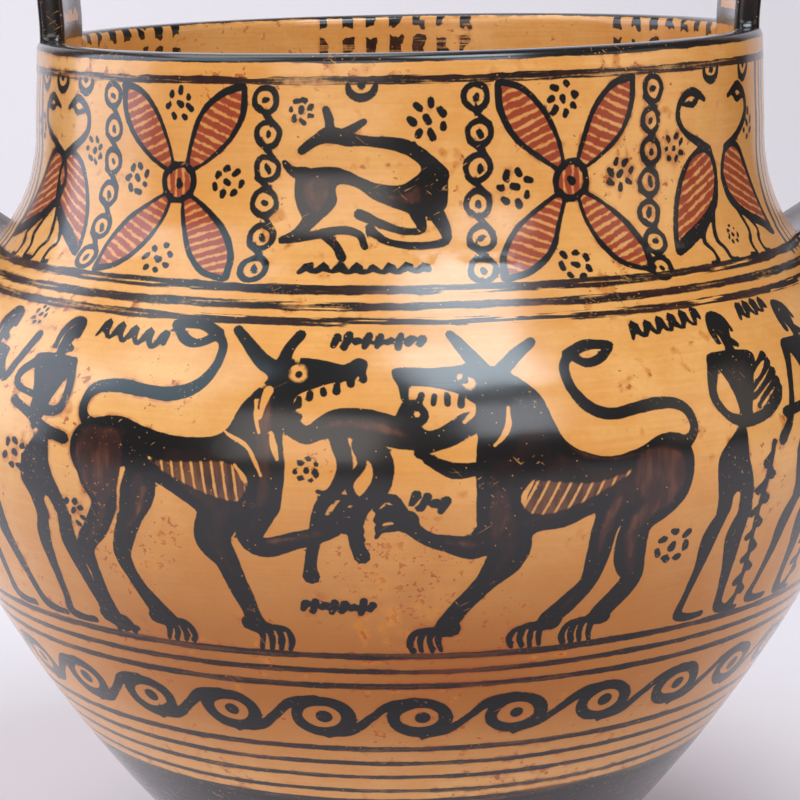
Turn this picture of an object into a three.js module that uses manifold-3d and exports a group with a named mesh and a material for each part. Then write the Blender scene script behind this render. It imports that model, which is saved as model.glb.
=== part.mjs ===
// A fired-clay vase with a round belly, a wide neck and two high strap handles.
// Millimetres, +Z up. The origin is on the ground, at the middle of the foot.
import * as THREE from 'three';
import { mergeVertices } from 'three/addons/utils/BufferGeometryUtils.js';
import Module from 'manifold-3d';

const wasm = await Module();
wasm.setup();

// Foot: a low disc with rounded edges and a shallow recess beneath
const FOOT_RADIUS = 40;
const FOOT_HEIGHT = 6;
const FOOT_EDGE_ROUND = 2;
const FOOT_RING_WIDTH = 10;
const RECESS_DEPTH = 2.5;

// Body, measured on its outer face
const STEM_RADIUS = 36.5;
const BELLY_RADIUS = 95.1;
const BELLY_HEIGHT = 103.4;
const NECK_RADIUS = 70.1;
const NECK_FOOT_HEIGHT = 155;
const RIM_RADIUS = 69.4;
const RIM_HEIGHT = 173.8;

// Clay
const WALL = 5;
const FLOOR = 6.5;
const LIP_ROUND = 2;

// Handles: a strap from the rim, up, over and down to the shoulder
const STRAP_WIDTH = 29;
const STRAP_THICKNESS = 5;
const STRAP_EDGE_ROUND = 1.6;
const ROOT_THICKNESS = 8;
const HANDLE_RISE = 45;
const HANDLE_REACH = 103;
const HANDLE_ARCH_HEIGHT = 26;
const HANDLE_ELBOW_HEIGHT = 164;
const ROOT_HEIGHT = 130;
const RIM_GRIP = 12;

// How full each curve is, as a share of the height that it spans
const LOWER_FULLNESS = 0.42;
const BELLY_FULLNESS = 0.11;
const SHOULDER_FULLNESS = 0.475;
const NECK_FULLNESS = 0.49;

// Smoothness of the faceted solid
const ROUND_SEGMENTS = 56;
const LOWER_STEPS = 11;
const SHOULDER_STEPS = 9;
const EDGE_STEPS = 2;
const HANDLE_STEPS = 34;
const STRAP_ROUND_STEPS = 2;
const MERGE_DISTANCE = 1e-4;

// Curves of the outer face, as radius and height
const lowerSpan = BELLY_HEIGHT - FOOT_HEIGHT;
const lowerCurve = new THREE.CubicBezierCurve(
  new THREE.Vector2(STEM_RADIUS, FOOT_HEIGHT),
  new THREE.Vector2(STEM_RADIUS + LOWER_FULLNESS * lowerSpan, FOOT_HEIGHT + LOWER_FULLNESS * lowerSpan),
  new THREE.Vector2(BELLY_RADIUS, BELLY_HEIGHT - BELLY_FULLNESS * lowerSpan),
  new THREE.Vector2(BELLY_RADIUS, BELLY_HEIGHT),
);
const shoulderSpan = NECK_FOOT_HEIGHT - BELLY_HEIGHT;
const shoulderCurve = new THREE.CubicBezierCurve(
  new THREE.Vector2(BELLY_RADIUS, BELLY_HEIGHT),
  new THREE.Vector2(BELLY_RADIUS, BELLY_HEIGHT + SHOULDER_FULLNESS * shoulderSpan),
  new THREE.Vector2(NECK_RADIUS, NECK_FOOT_HEIGHT - NECK_FULLNESS * shoulderSpan),
  new THREE.Vector2(NECK_RADIUS, NECK_FOOT_HEIGHT),
);

// The outer face's radius at a height on the shoulder, by halving the curve
function shoulderRadiusAt(height) {
  let low = 0;
  let high = 1;
  for (let step = 0; step < 40; step += 1) {
    const middle = (low + high) / 2;
    if (shoulderCurve.getPoint(middle).y < height) {
      low = middle;
    } else {
      high = middle;
    }
  }
  return shoulderCurve.getPoint(low).x;
}

// Points of a curve, moved inwards square to it by a distance
function innerPoints(curve, distance, steps) {
  const points = [];
  for (let step = 0; step <= steps; step += 1) {
    const share = step / steps;
    const point = curve.getPoint(share);
    const along = curve.getTangent(share);
    points.push(new THREE.Vector2(point.x - along.y * distance, point.y + along.x * distance));
  }
  return points;
}

// A quarter round between two points, bulging towards the corner
function roundedCorner(from, corner, to) {
  return new THREE.QuadraticBezierCurve(from, corner, to).getPoints(EDGE_STEPS);
}

// Underside and side of the foot, from the axis outwards and up
function footProfile() {
  const ringInner = FOOT_RADIUS - FOOT_RING_WIDTH;
  return [
    new THREE.Vector2(0, RECESS_DEPTH),
    new THREE.Vector2(ringInner - RECESS_DEPTH, RECESS_DEPTH),
    new THREE.Vector2(ringInner, 0),
    ...roundedCorner(
      new THREE.Vector2(FOOT_RADIUS - FOOT_EDGE_ROUND, 0),
      new THREE.Vector2(FOOT_RADIUS, 0),
      new THREE.Vector2(FOOT_RADIUS, FOOT_EDGE_ROUND),
    ),
    ...roundedCorner(
      new THREE.Vector2(FOOT_RADIUS, FOOT_HEIGHT - FOOT_EDGE_ROUND),
      new THREE.Vector2(FOOT_RADIUS, FOOT_HEIGHT),
      new THREE.Vector2(FOOT_RADIUS - FOOT_EDGE_ROUND, FOOT_HEIGHT),
    ),
  ];
}

// The rounded lip, from the outer face over to the inner one
function lipProfile() {
  const inner = RIM_RADIUS - WALL;
  return [
    ...roundedCorner(
      new THREE.Vector2(RIM_RADIUS, RIM_HEIGHT - LIP_ROUND),
      new THREE.Vector2(RIM_RADIUS, RIM_HEIGHT),
      new THREE.Vector2(RIM_RADIUS - LIP_ROUND, RIM_HEIGHT),
    ),
    ...roundedCorner(
      new THREE.Vector2(inner + LIP_ROUND, RIM_HEIGHT),
      new THREE.Vector2(inner, RIM_HEIGHT),
      new THREE.Vector2(inner, RIM_HEIGHT - LIP_ROUND),
    ),
  ];
}

// The hollow's face, from the neck down to the middle of the floor
function hollowProfile() {
  const floorTop = RECESS_DEPTH + FLOOR;
  const shoulder = innerPoints(shoulderCurve, WALL, SHOULDER_STEPS).reverse();
  const lower = innerPoints(lowerCurve, WALL, LOWER_STEPS).reverse().slice(1);
  const wall = [...shoulder, ...lower];
  const kept = wall.filter((point) => point.y > floorTop);
  const above = kept[kept.length - 1];
  const below = wall[kept.length] ?? new THREE.Vector2(0, floorTop);
  const share = (above.y - floorTop) / Math.max(above.y - below.y, MERGE_DISTANCE);
  const corner = above.clone().lerp(below, Math.min(share, 1));
  return [...kept, new THREE.Vector2(corner.x, floorTop), new THREE.Vector2(0, floorTop)];
}

// A three.js geometry as a closed solid that can be joined
function solidOf(geometry) {
  geometry.deleteAttribute('normal');
  geometry.deleteAttribute('uv');
  const merged = mergeVertices(geometry, MERGE_DISTANCE);
  const corners = merged.index.array;
  const triangles = [];
  for (let start = 0; start < corners.length; start += 3) {
    const [a, b, c] = [corners[start], corners[start + 1], corners[start + 2]];
    if (a !== b && b !== c && c !== a) {
      triangles.push(a, b, c);
    }
  }
  return new wasm.Manifold(new wasm.Mesh({
    numProp: 3,
    vertProperties: merged.attributes.position.array,
    triVerts: Uint32Array.from(triangles),
  }));
}

// The thrown body: foot, belly, neck and lip around its hollow
function bodySolid() {
  const profile = [
    ...footProfile(),
    ...lowerCurve.getPoints(LOWER_STEPS),
    ...shoulderCurve.getPoints(SHOULDER_STEPS).slice(1),
    ...lipProfile(),
    ...hollowProfile(),
  ];
  const lathe = new THREE.LatheGeometry(profile, ROUND_SEGMENTS);
  lathe.rotateX(Math.PI / 2);
  return solidOf(lathe);
}

// The strap's middle line, as distance from the axis and height
function handleLine() {
  const rimMiddle = RIM_RADIUS - WALL / 2 - (WALL + STRAP_THICKNESS) / 20;
  const archMiddle = (rimMiddle + HANDLE_REACH) / 2;
  const archRadius = (HANDLE_REACH - rimMiddle) / 2;
  const archStart = RIM_HEIGHT + HANDLE_RISE - STRAP_THICKNESS / 2 - HANDLE_ARCH_HEIGHT;
  const rootRadius = shoulderRadiusAt(ROOT_HEIGHT) - WALL / 2;
  const drop = HANDLE_ELBOW_HEIGHT - ROOT_HEIGHT;
  const line = new THREE.Path();
  line.moveTo(rimMiddle, RIM_HEIGHT - RIM_GRIP);
  line.lineTo(rimMiddle, archStart);
  line.absellipse(archMiddle, archStart, archRadius, HANDLE_ARCH_HEIGHT, Math.PI, 0, true);
  line.lineTo(HANDLE_REACH, HANDLE_ELBOW_HEIGHT);
  line.bezierCurveTo(
    HANDLE_REACH,
    HANDLE_ELBOW_HEIGHT - drop / 2,
    (HANDLE_REACH + rootRadius) / 2,
    ROOT_HEIGHT + drop / 4,
    rootRadius,
    ROOT_HEIGHT,
  );
  return line;
}

// One strap: its side outline follows the middle line and thickens at the root
function handleSolid(turn) {
  const line = handleLine();
  const left = [];
  const right = [];
  for (let step = 0; step <= HANDLE_STEPS; step += 1) {
    const share = step / HANDLE_STEPS;
    const point = line.getPointAt(share);
    const along = line.getTangentAt(share);
    const flare = THREE.MathUtils.smoothstep(share, 0.8, 1);
    const half = THREE.MathUtils.lerp(STRAP_THICKNESS, ROOT_THICKNESS, flare) / 2;
    left.push(new THREE.Vector2(point.x - along.y * half, point.y + along.x * half));
    right.push(new THREE.Vector2(point.x + along.y * half, point.y - along.x * half));
  }
  const outline = new THREE.Shape([...left, ...right.reverse()]);
  const depth = STRAP_WIDTH - 2 * STRAP_EDGE_ROUND;
  const strap = new THREE.ExtrudeGeometry(outline, {
    depth,
    bevelThickness: STRAP_EDGE_ROUND,
    bevelSize: STRAP_EDGE_ROUND,
    bevelOffset: -STRAP_EDGE_ROUND,
    bevelSegments: STRAP_ROUND_STEPS,
  });
  strap.translate(0, 0, -depth / 2);
  strap.rotateX(Math.PI / 2);
  strap.rotateZ(turn);
  return solidOf(strap);
}

// A joined solid as a three.js geometry
function geometryOf(solid) {
  const mesh = solid.getMesh();
  const geometry = new THREE.BufferGeometry();
  geometry.setAttribute('position', new THREE.BufferAttribute(mesh.vertProperties, mesh.numProp));
  geometry.setIndex(new THREE.BufferAttribute(mesh.triVerts, 1));
  geometry.computeVertexNormals();
  return geometry;
}

const clay = new THREE.MeshStandardMaterial({ color: 0xdc9a5c, roughness: 0.42, metalness: 0 });
const fired = bodySolid().add(handleSolid(0)).add(handleSolid(Math.PI));
const vase = new THREE.Mesh(geometryOf(fired), clay);
vase.name = 'vase';

const model = new THREE.Group();
model.add(vase);

export default model;
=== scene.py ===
"""A hand-painted clay vase with high strap handles, in a plain studio.

The pot is one mesh that stands for the solid node: a thrown wall, a lip, a foot and two straps luted on.
Its painting is brushwork. Every brush stroke is a smooth line with a width, drawn in flat millimetres on a
band of the pot. The wall's mesh has points along each stroke, and each point knows how deep it lies inside
the paint, so the shader can draw a crisp, slightly worn edge from a modest number of faces.
"""

import logging
import math
from dataclasses import dataclass, field
from enum import Enum
from typing import Callable, Iterable, Sequence

import bmesh
import bpy
import numpy as np
from mathutils import Matrix, Vector
from mathutils.geometry import delaunay_2d_cdt
from mathutils.kdtree import KDTree

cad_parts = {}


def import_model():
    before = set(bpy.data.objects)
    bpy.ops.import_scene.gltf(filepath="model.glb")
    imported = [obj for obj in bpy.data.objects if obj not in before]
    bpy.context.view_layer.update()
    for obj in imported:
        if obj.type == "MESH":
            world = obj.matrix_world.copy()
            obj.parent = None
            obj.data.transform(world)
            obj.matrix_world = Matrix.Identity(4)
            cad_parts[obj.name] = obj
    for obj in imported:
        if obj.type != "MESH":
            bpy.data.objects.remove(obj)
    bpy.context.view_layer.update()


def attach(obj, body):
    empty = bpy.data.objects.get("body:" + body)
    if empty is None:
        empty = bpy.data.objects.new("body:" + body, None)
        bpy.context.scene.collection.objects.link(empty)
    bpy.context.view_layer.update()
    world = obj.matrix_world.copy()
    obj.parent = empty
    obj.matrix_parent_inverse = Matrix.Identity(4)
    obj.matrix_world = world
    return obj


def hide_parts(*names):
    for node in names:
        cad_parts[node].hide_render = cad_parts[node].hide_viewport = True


LOG = logging.getLogger("vase")
MM = 0.001
NODE = "vase"
BODY = "root"
TINY = 1e-9


class Coat(Enum):
    """What a brush leaves on the clay."""

    SLIP = "slip"
    THIN = "thin"
    RED = "red"
    RIBBED = "ribbed"
    BARE = "bare"


FILMS = (Coat.SLIP.value, Coat.THIN.value, Coat.RED.value, Coat.RIBBED.value)


def smooth_line(points: np.ndarray, closed: bool, step: float) -> np.ndarray:
    """Sample a smooth line that runs through every given point.

    Args:
        points: Control points, one per row, with any number of columns. The first two are the place.
        closed: Whether the line runs back to its start.
        step: Distance between samples, in millimetres.

    Returns:
        The samples, one per row, with the same columns.
    """
    count = len(points)
    if count < 3:
        if count == 1:
            return points.copy()
        spans = 1
    else:
        spans = count if closed else count - 1
    samples = []
    for span in range(spans):
        if closed:
            before, start, end, after = (points[(span + k) % count] for k in (-1, 0, 1, 2))
        else:
            start, end = points[span], points[span + 1]
            before = points[span - 1] if span > 0 else 2 * start - end
            after = points[span + 2] if span + 2 < count else 2 * end - start
        length = float(np.hypot(*(end - start)[:2]))
        pieces = max(1, math.ceil(length / step))
        share = np.linspace(0, 1, pieces, endpoint=False)[:, None]
        samples.append(
            0.5
            * (
                2 * start
                + (end - before) * share
                + (2 * before - 5 * start + 4 * end - after) * share**2
                + (3 * start - before - 3 * end + after) * share**3
            )
        )
    if not closed:
        samples.append(points[-1:])
    return np.vstack(samples)


@dataclass
class Mark:
    """One touch of the brush, as a sampled line with a width or as a filled outline.

    Attributes:
        coat: What the brush leaves.
        line: Samples as x, y and half width, in millimetres.
        filled: Whether the line is the outline of a filled shape.
        hatch: Direction that hatch lines cross, in radians, for a hatched red fill or a ribbed flank.
    """

    coat: Coat
    line: np.ndarray
    filled: bool = False
    hatch: float = 0.0

    SPILL = 0.12
    SPOKES_PER_MM = 11
    FEWEST_SPOKES = 6
    TIP_TURNS = (-0.8, 0.0, 0.8)

    def box(self, margin: float) -> tuple[float, float, float, float]:
        """Return the lowest and highest x, then y, with a margin around."""
        reach = margin + (0.0 if self.filled else float(self.line[:, 2].max()))
        low = self.line[:, :2].min(axis=0) - reach
        high = self.line[:, :2].max(axis=0) + reach
        return low[0], high[0], low[1], high[1]

    def depth(self, places: np.ndarray) -> np.ndarray:
        """Return how deep each place lies inside the paint, in millimetres, negative outside.

        Args:
            places: x and y of each place, one per row.
        """
        start = self.line
        end = np.roll(self.line, -1, axis=0)
        if not self.filled:
            start, end = (start[:-1], end[:-1]) if len(start) > 1 else (start, start)
        run = end[:, :2] - start[:, :2]
        length = np.maximum((run**2).sum(axis=1), TINY)
        off = places[:, None, :] - start[None, :, :2]
        share = np.clip((off * run).sum(axis=2) / length, 0, 1)
        away = np.linalg.norm(off - share[..., None] * run, axis=2)
        if not self.filled:
            half = start[:, 2] + share * (end[:, 2] - start[:, 2])
            return (half - away).max(axis=1)
        crosses = (start[:, 1] > places[:, 1:2]) != (end[:, 1] > places[:, 1:2])
        rise = np.where(np.abs(run[:, 1]) < TINY, TINY, run[:, 1])
        at = start[:, 0] + (places[:, 1:2] - start[:, 1]) * run[:, 0] / rise
        inside = (crosses & (places[:, 0:1] < at)).sum(axis=1) % 2 == 1
        return np.where(inside, 1.0, -1.0) * away.min(axis=1)

    def guides(self, ring: float) -> tuple[np.ndarray, np.ndarray, np.ndarray]:
        """Return points for the mesh: on the middle line, on the paint's edges, and just outside them.

        Args:
            ring: How far outside the edge the outer points lie, in millimetres.
        """
        place = self.line[:, :2]
        half = np.zeros(len(place)) if self.filled else self.line[:, 2]
        if len(place) == 1:
            spokes = max(self.FEWEST_SPOKES, round(self.SPOKES_PER_MM * float(half[0])))
            turn = np.linspace(0, 2 * math.pi, spokes, endpoint=False)
            spoke = np.stack([np.cos(turn), np.sin(turn)], axis=1)
            return place, place + spoke * (half[0] + self.SPILL), place + spoke * (half[0] + ring)
        along = np.gradient(place, axis=0)
        along /= np.maximum(np.linalg.norm(along, axis=1, keepdims=True), TINY)
        square = np.stack([-along[:, 1], along[:, 0]], axis=1)
        wide = half[:, None] + self.SPILL
        edges = np.vstack([place + square * wide, place - square * wide])
        outer = np.vstack([place + square * (wide + ring), place - square * (wide + ring)])
        if self.filled:
            return np.zeros((0, 2)), edges, outer
        for tip, inward in ((0, 1), (-1, -1)):
            ahead = -inward * along[tip]
            for turn in self.TIP_TURNS:
                spoke = ahead * math.cos(turn) + square[tip] * math.sin(turn)
                edges = np.vstack([edges, place[tip] + spoke * (half[tip] + self.SPILL)])
                outer = np.vstack([outer, place[tip] + spoke * (half[tip] + ring)])
        return place, edges, outer


@dataclass
class Picture:
    """Everything painted on one band of the pot.

    Attributes:
        radius: Radius at which x is measured round the pot, in millimetres.
        ground: Height of the line where y is 0, in millimetres above the ground.
        seed: Start of the painter's small irregularities.
    """

    radius: float
    ground: float
    seed: int
    marks: list[Mark] = field(default_factory=list)

    def __post_init__(self) -> None:
        """Start the hand's own random numbers."""
        self.random = np.random.default_rng(self.seed)

    def at(self, x: float, y: float, flip: bool = False, scale: float = 1.0, lean: float = 0.0) -> "Hand":
        """Return a hand that paints a motif at a place of this band."""
        return Hand(self, x, y, flip, scale, lean)


@dataclass(frozen=True)
class Hand:
    """A painter's hand at one place: it turns a motif's own millimetres into the band's.

    Attributes:
        picture: The band that is painted.
        x: Place of the motif round the pot.
        y: Place of the motif above the band's ground line.
        flip: Whether the motif faces the other way.
        scale: Size of the motif against its first drawing.
        lean: Turn of the motif, in degrees, against the clock.
    """

    picture: Picture
    x: float
    y: float
    flip: bool = False
    scale: float = 1.0
    lean: float = 0.0

    STEP = 0.85
    WOBBLE = 0.10
    PRESSURE = 0.07
    FINEST_HALF = 0.2
    DAB_REACH = 0.22
    DAB_START = 0.95
    DAB_END = 0.8
    RING_POINTS = 8
    RING_START = 0.4

    def _placed(self, points: Iterable[Sequence[float]]) -> np.ndarray:
        """Return a motif's points in the band's millimetres, with a hand's small wobble."""
        rows = np.array([tuple(p) for p in points], dtype=float)
        rows[:, :2] += self.picture.random.normal(0, self.WOBBLE, (len(rows), 2))
        rows *= self.scale
        turn = math.radians(self.lean)
        x = rows[:, 0] * math.cos(turn) - rows[:, 1] * math.sin(turn)
        y = rows[:, 0] * math.sin(turn) + rows[:, 1] * math.cos(turn)
        rows[:, 0] = self.x + (-x if self.flip else x)
        rows[:, 1] = self.y + y
        return rows

    def moved(self, x: float, y: float, scale: float = 1.0) -> "Hand":
        """Return a hand that starts at another place of the same motif."""
        side = -x if self.flip else x
        return Hand(self.picture, self.x + side, self.y + y, self.flip, self.scale * scale, self.lean)

    def stroke(
        self, *points: tuple[float, float, float], coat: Coat = Coat.SLIP, closed: bool = False
    ) -> None:
        """Pull the brush through points of x, y and width.

        Args:
            points: x, y and width of the stroke, in the motif's millimetres.
            coat: What the brush leaves.
            closed: Whether the stroke runs back to its start.
        """
        rows = self._placed(points)
        rows[:, 2] *= 0.5 * (1 + self.picture.random.normal(0, self.PRESSURE, len(rows)))
        line = smooth_line(rows, closed, self.STEP)
        line[:, 2] = np.maximum(line[:, 2], self.FINEST_HALF)
        if closed:
            line = np.vstack([line, line[:1]])
        self.picture.marks.append(Mark(coat, line))

    def line(self, width: float, *points: tuple[float, float], coat: Coat = Coat.SLIP) -> None:
        """Pull the brush through points with one width."""
        self.stroke(*[(x, y, width) for x, y in points], coat=coat)

    def wash(self, *points: tuple[float, float, float]) -> None:
        """Pull a brush of thinned slip through points of x, y and width."""
        self.stroke(*points, coat=Coat.THIN)

    def scrape(self, *points: tuple[float, float, float]) -> None:
        """Scrape a line of x, y and width back to the bare clay."""
        self.stroke(*points, coat=Coat.BARE)

    def fill(self, *outline: tuple[float, float], coat: Coat = Coat.SLIP, hatch: float = 0.0) -> None:
        """Fill a shape with a smooth outline.

        Args:
            outline: x and y of the outline, in the motif's millimetres.
            coat: What the brush leaves.
            hatch: Direction that hatch lines cross, in radians.
        """
        line = smooth_line(self._placed(outline), True, self.STEP)
        turn = math.pi - hatch if self.flip else hatch
        self.picture.marks.append(Mark(coat, line, True, turn))

    def dot(self, x: float, y: float, size: float, coat: Coat = Coat.SLIP) -> None:
        """Touch the brush down once."""
        self.stroke((x, y, size), coat=coat)

    def dab(self, x: float, y: float, size: float) -> None:
        """Drag the brush a very short way."""
        turn = self.picture.random.uniform(0, math.pi)
        reach = size * self.DAB_REACH
        shift = (reach * math.cos(turn), reach * math.sin(turn))
        start = (x - shift[0], y - shift[1], size * self.DAB_START)
        self.stroke(start, (x + shift[0], y + shift[1], size * self.DAB_END))

    def ring(self, x: float, y: float, radius: float, width: float, flat: float = 1.0) -> None:
        """Paint a ring, a little squashed if flat is under 1."""
        turns = np.linspace(0, 2 * math.pi, self.RING_POINTS + 1)[:-1] + self.RING_START
        points = [(x + radius * math.cos(t), y + radius * flat * math.sin(t), width) for t in turns]
        self.stroke(*points, closed=True)


def rosette(hand: Hand, petals: int = 7, radius: float = 2.35) -> None:
    """Paint a dot with a ring of dots around it."""
    hand.dab(0, 0, 1.45)
    for petal in range(petals):
        turn = 2 * math.pi * petal / petals
        reach = radius + hand.picture.random.normal(0, 0.12)
        hand.dab(reach * math.cos(turn), reach * math.sin(turn), 1.35)


def zigzag(hand: Hand, length: float, teeth: int, height: float = 2.0, rise: float = 0.0) -> None:
    """Paint a small zigzag that runs to the right, with thick strokes up and thin ones down."""
    pitch = length / teeth
    points = []
    for tooth in range(teeth):
        climb = rise * tooth / teeth
        points.append((tooth * pitch, climb, 0.9))
        points.append(((tooth + 0.42) * pitch, climb + height, 1.9))
        points.append(((tooth + 0.62) * pitch, climb + height * 0.35, 1.2))
    hand.stroke(*points)


def dab_row(hand: Hand, length: float, dabs: int) -> None:
    """Paint a row of dabs that run together."""
    pitch = length / dabs
    for number in range(dabs):
        tall = 0.7 + 0.5 * math.sin(2.3 * number)
        hand.stroke((number * pitch, -tall, 1.3), ((number + 0.35) * pitch, tall, 1.7))
    hand.line(0.8, (pitch, 0.2), (length * 0.5, -0.3), (length - pitch, 0.3))


def bead_chain(hand: Hand, beads: int, pitch: float) -> None:
    """Paint a string of ringed dots that runs upwards, each linked slantwise to the next."""
    for bead in range(beads):
        y = bead * pitch
        sway = 0.25 * math.sin(2.1 * bead)
        hand.ring(sway, y, 2.1, 1.15)
        hand.dab(sway + 0.1, y, 1.3)
        if bead + 1 < beads:
            hand.line(1.0, (sway + 1.9, y + 1.2), (sway + 0.3, y + pitch / 2), (sway - 1.7, y + pitch - 1.3))


def quatrefoil(hand: Hand, reach: tuple[float, float]) -> None:
    """Paint four hatched petals that reach to the corners of a panel from a ringed centre."""
    length = math.hypot(*reach)
    centre = 2.6
    swell = ((0.0, 0.5), (0.22, 2.2), (0.52, 3.5), (0.8, 2.7), (1.0, 0.2))
    for right in (-1, 1):
        for up in (-1, 1):
            axis = math.atan2(up * reach[1], right * reach[0])
            along = (math.cos(axis), math.sin(axis))

            def place(share: float, side: float) -> tuple[float, float]:
                """Return a point at a share of the petal's length and a distance to its side."""
                run = centre + (length - centre) * share
                return along[0] * run - along[1] * side, along[1] * run + along[0] * side

            left = [place(share, side) for share, side in swell]
            back = [place(share, -side) for share, side in reversed(swell)]
            hand.fill(*left, *back, coat=Coat.RED, hatch=axis + 0.28 * right * up)
            hand.stroke(*[(px, py, 0.8 + 0.18 * n) for n, (px, py) in enumerate(left)])
            hand.stroke(*[(px, py, 1.4 - 0.17 * n) for n, (px, py) in enumerate(back)])
    hand.fill(*[(2.7 * math.cos(t), 2.7 * math.sin(t)) for t in np.linspace(0, 5.5, 8)], coat=Coat.RED)
    hand.ring(0, 0, 3.1, 1.3)
    hand.dab(0, 0, 1.7)


def crane(hand: Hand) -> None:
    """Paint a long-necked wading bird that faces right, standing on y = 0."""
    body = ((-7.8, 3.4), (-6.6, 9.4), (-4, 15.2), (-1, 19.4), (2.4, 21), (5.4, 20.4), (7.2, 17.4),
            (7.2, 14.4), (5.4, 11.4), (1.8, 8.6), (-3, 6))
    hand.fill(*body, coat=Coat.RED, hatch=1.95)
    hand.stroke(*[(x, y, 1.25) for x, y in body], closed=True)
    hand.stroke((-8, 3.2, 1.6), (-4.6, 5.4, 2.6), (1, 8.2, 2.2), (5.6, 11.6, 1.9), (7.3, 15.2, 1.5))
    hand.stroke((5.4, 20.4, 2), (2, 22.2, 1.8), (-2, 24.2, 1.6), (-3.7, 26.6, 1.5), (-3, 29.4, 1.6),
                (0, 31, 1.7), (2.2, 30.3, 1.6), (4.2, 29.3, 0.9))
    hand.stroke((-2.2, 29, 1), (0.4, 28.7, 1.3), (2, 29.8, 1.1))
    hand.line(1.1, (1.8, 8.4), (-1, 4.8), (0.4, 2.6), (0.4, 0.4), (-1.2, 0.1))
    hand.line(1.1, (5, 10.8), (2.6, 5.2), (4, 2.6), (4.4, 0.3), (6, 0.2))


def hanging_loop(hand: Hand) -> None:
    """Paint a small loop that hangs from a line, with a dot in it."""
    hand.stroke((-2.3, 0.9, 0.9), (-2.1, -1, 1.4), (-0.2, -2.1, 1.6), (1.9, -1.1, 1.4), (2.4, 0.9, 0.9))
    hand.dot(0.0, 0.2, 1.8)


def resting_deer(hand: Hand) -> None:
    """Paint a deer that lies on folded legs and looks back over its shoulder."""
    hand.fill((-17.4, 20.8), (-13, 21.8), (-9.6, 21.4), (-6, 19.6), (-3.4, 18.8), (0, 18.7), (2.6, 20.4),
              (5, 22.4), (7.6, 20.6), (8.2, 17), (7.4, 14.2), (3.6, 13.2), (0, 14.4), (-4, 16), (-8, 18.4),
              (-10.8, 18.6), (-10.6, 15.8), (-12.2, 13.4), (-15, 11.6), (-16.8, 13.6), (-18, 17))
    hand.fill((-16.8, 19), (-12.6, 20), (-11.8, 16.8), (-13.6, 13.8), (-16, 15), coat=Coat.THIN)
    hand.fill((-5, 17.4), (-0.6, 17.2), (3.2, 18.6), (3.4, 15.4), (-1, 15.6), coat=Coat.THIN)
    hand.stroke((-16.4, 20.8, 2), (-18.6, 20.9, 1.6), (-19.9, 22.2, 1.2))
    hand.stroke((6.4, 20, 3.4), (3.8, 23.4, 2.8), (0, 25.2, 2.2), (-5, 26, 1.9), (-9, 26.3, 2.4))
    hand.stroke((-9, 26.2, 2.6), (-12.2, 26.9, 2.9), (-14.6, 26, 1.9), (-16.8, 24.5, 1.7))
    hand.stroke((-12.2, 27.6, 1.7), (-12.2, 29.4, 1.9), (-12.8, 31.2, 1.4))
    hand.stroke((-10.6, 27.2, 1.6), (-8.4, 28, 1.5), (-6.2, 29.3, 1.3))
    hand.stroke((-14.6, 13, 3.2), (-17, 10.4, 2), (-19.4, 9, 1.5), (-14.6, 9.6, 1.8), (-10.2, 11, 1.6),
                (-6.8, 10.4, 1.5), (-5.2, 8, 1.3))
    hand.stroke((-12.2, 10.2, 1.8), (-10.2, 8.2, 1.5), (-8.8, 6, 1.8))
    hand.stroke((5.6, 14.4, 3.2), (7.4, 11.2, 2), (7.5, 8.9, 1.6), (3, 8.3, 1.4), (-1.8, 9.2, 1.4),
                (-4.8, 11.2, 1.7))
    hand.stroke((2.6, 14, 2.6), (3.6, 11, 1.6), (0.2, 11, 1.3), (-3.6, 12.4, 1.4), (-6.8, 13.8, 1.9))


def paw(hand: Hand, x: float, y: float, claws: int = 4) -> None:
    """Paint a clawed foot that points right, with its wrist at a place just above the ground."""
    hand.stroke((x - 1.4, y + 1, 3.4), (x + 0.4, y + 0.9, 3))
    for claw in range(claws):
        out = 1.75 * claw
        hand.stroke((x - 1.2 + 0.5 * claw, y + 0.6, 1.5), (x + 0.1 + 0.9 * out, y + 1.0 - 0.16 * claw, 1.35),
                    (x + 0.9 + out, y - 1.2 - 0.2 * claw, 1.35), (x + 0.3 + out, 0.7, 0.95))


def reaching_paw(hand: Hand, x: float, y: float) -> None:
    """Paint a lifted clawed foot that reaches right."""
    hand.dot(x, y, 3.8)
    for claw in range(4):
        rise = 1.7 * claw - 2.0
        hand.stroke((x, y + 0.3 * rise, 1.6), (x + 2.2, y + 1.0 + rise, 1.5), (x + 4.2, y + 0.6 + rise, 1.3),
                    (x + 5, y - 0.9 + rise, 0.8))


def beast_tail(hand: Hand) -> None:
    """Paint a long curved tail that rises from the rump and ends in a leaf."""
    hand.stroke((3.8, -2, 3), (1.2, -0.4, 2.1), (0.6, 2.2, 1.8), (2.2, 4.9, 2.2), (6.8, 5.9, 2.4),
                (12, 5.4, 2.4), (17, 5, 2.3), (21.2, 6.6, 2.4), (24, 10.2, 2.1), (24.6, 14.2, 1.9),
                (22.6, 17.2, 1.9))
    hand.stroke((23, 16.8, 2.2), (19.4, 18.5, 2.3), (16.2, 18.5, 2.2), (13.8, 18.2, 1.9))
    hand.stroke((22.6, 16.6, 2), (19.8, 14.9, 2), (16.8, 15.4, 1.9), (14, 17.8, 1.7))


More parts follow.
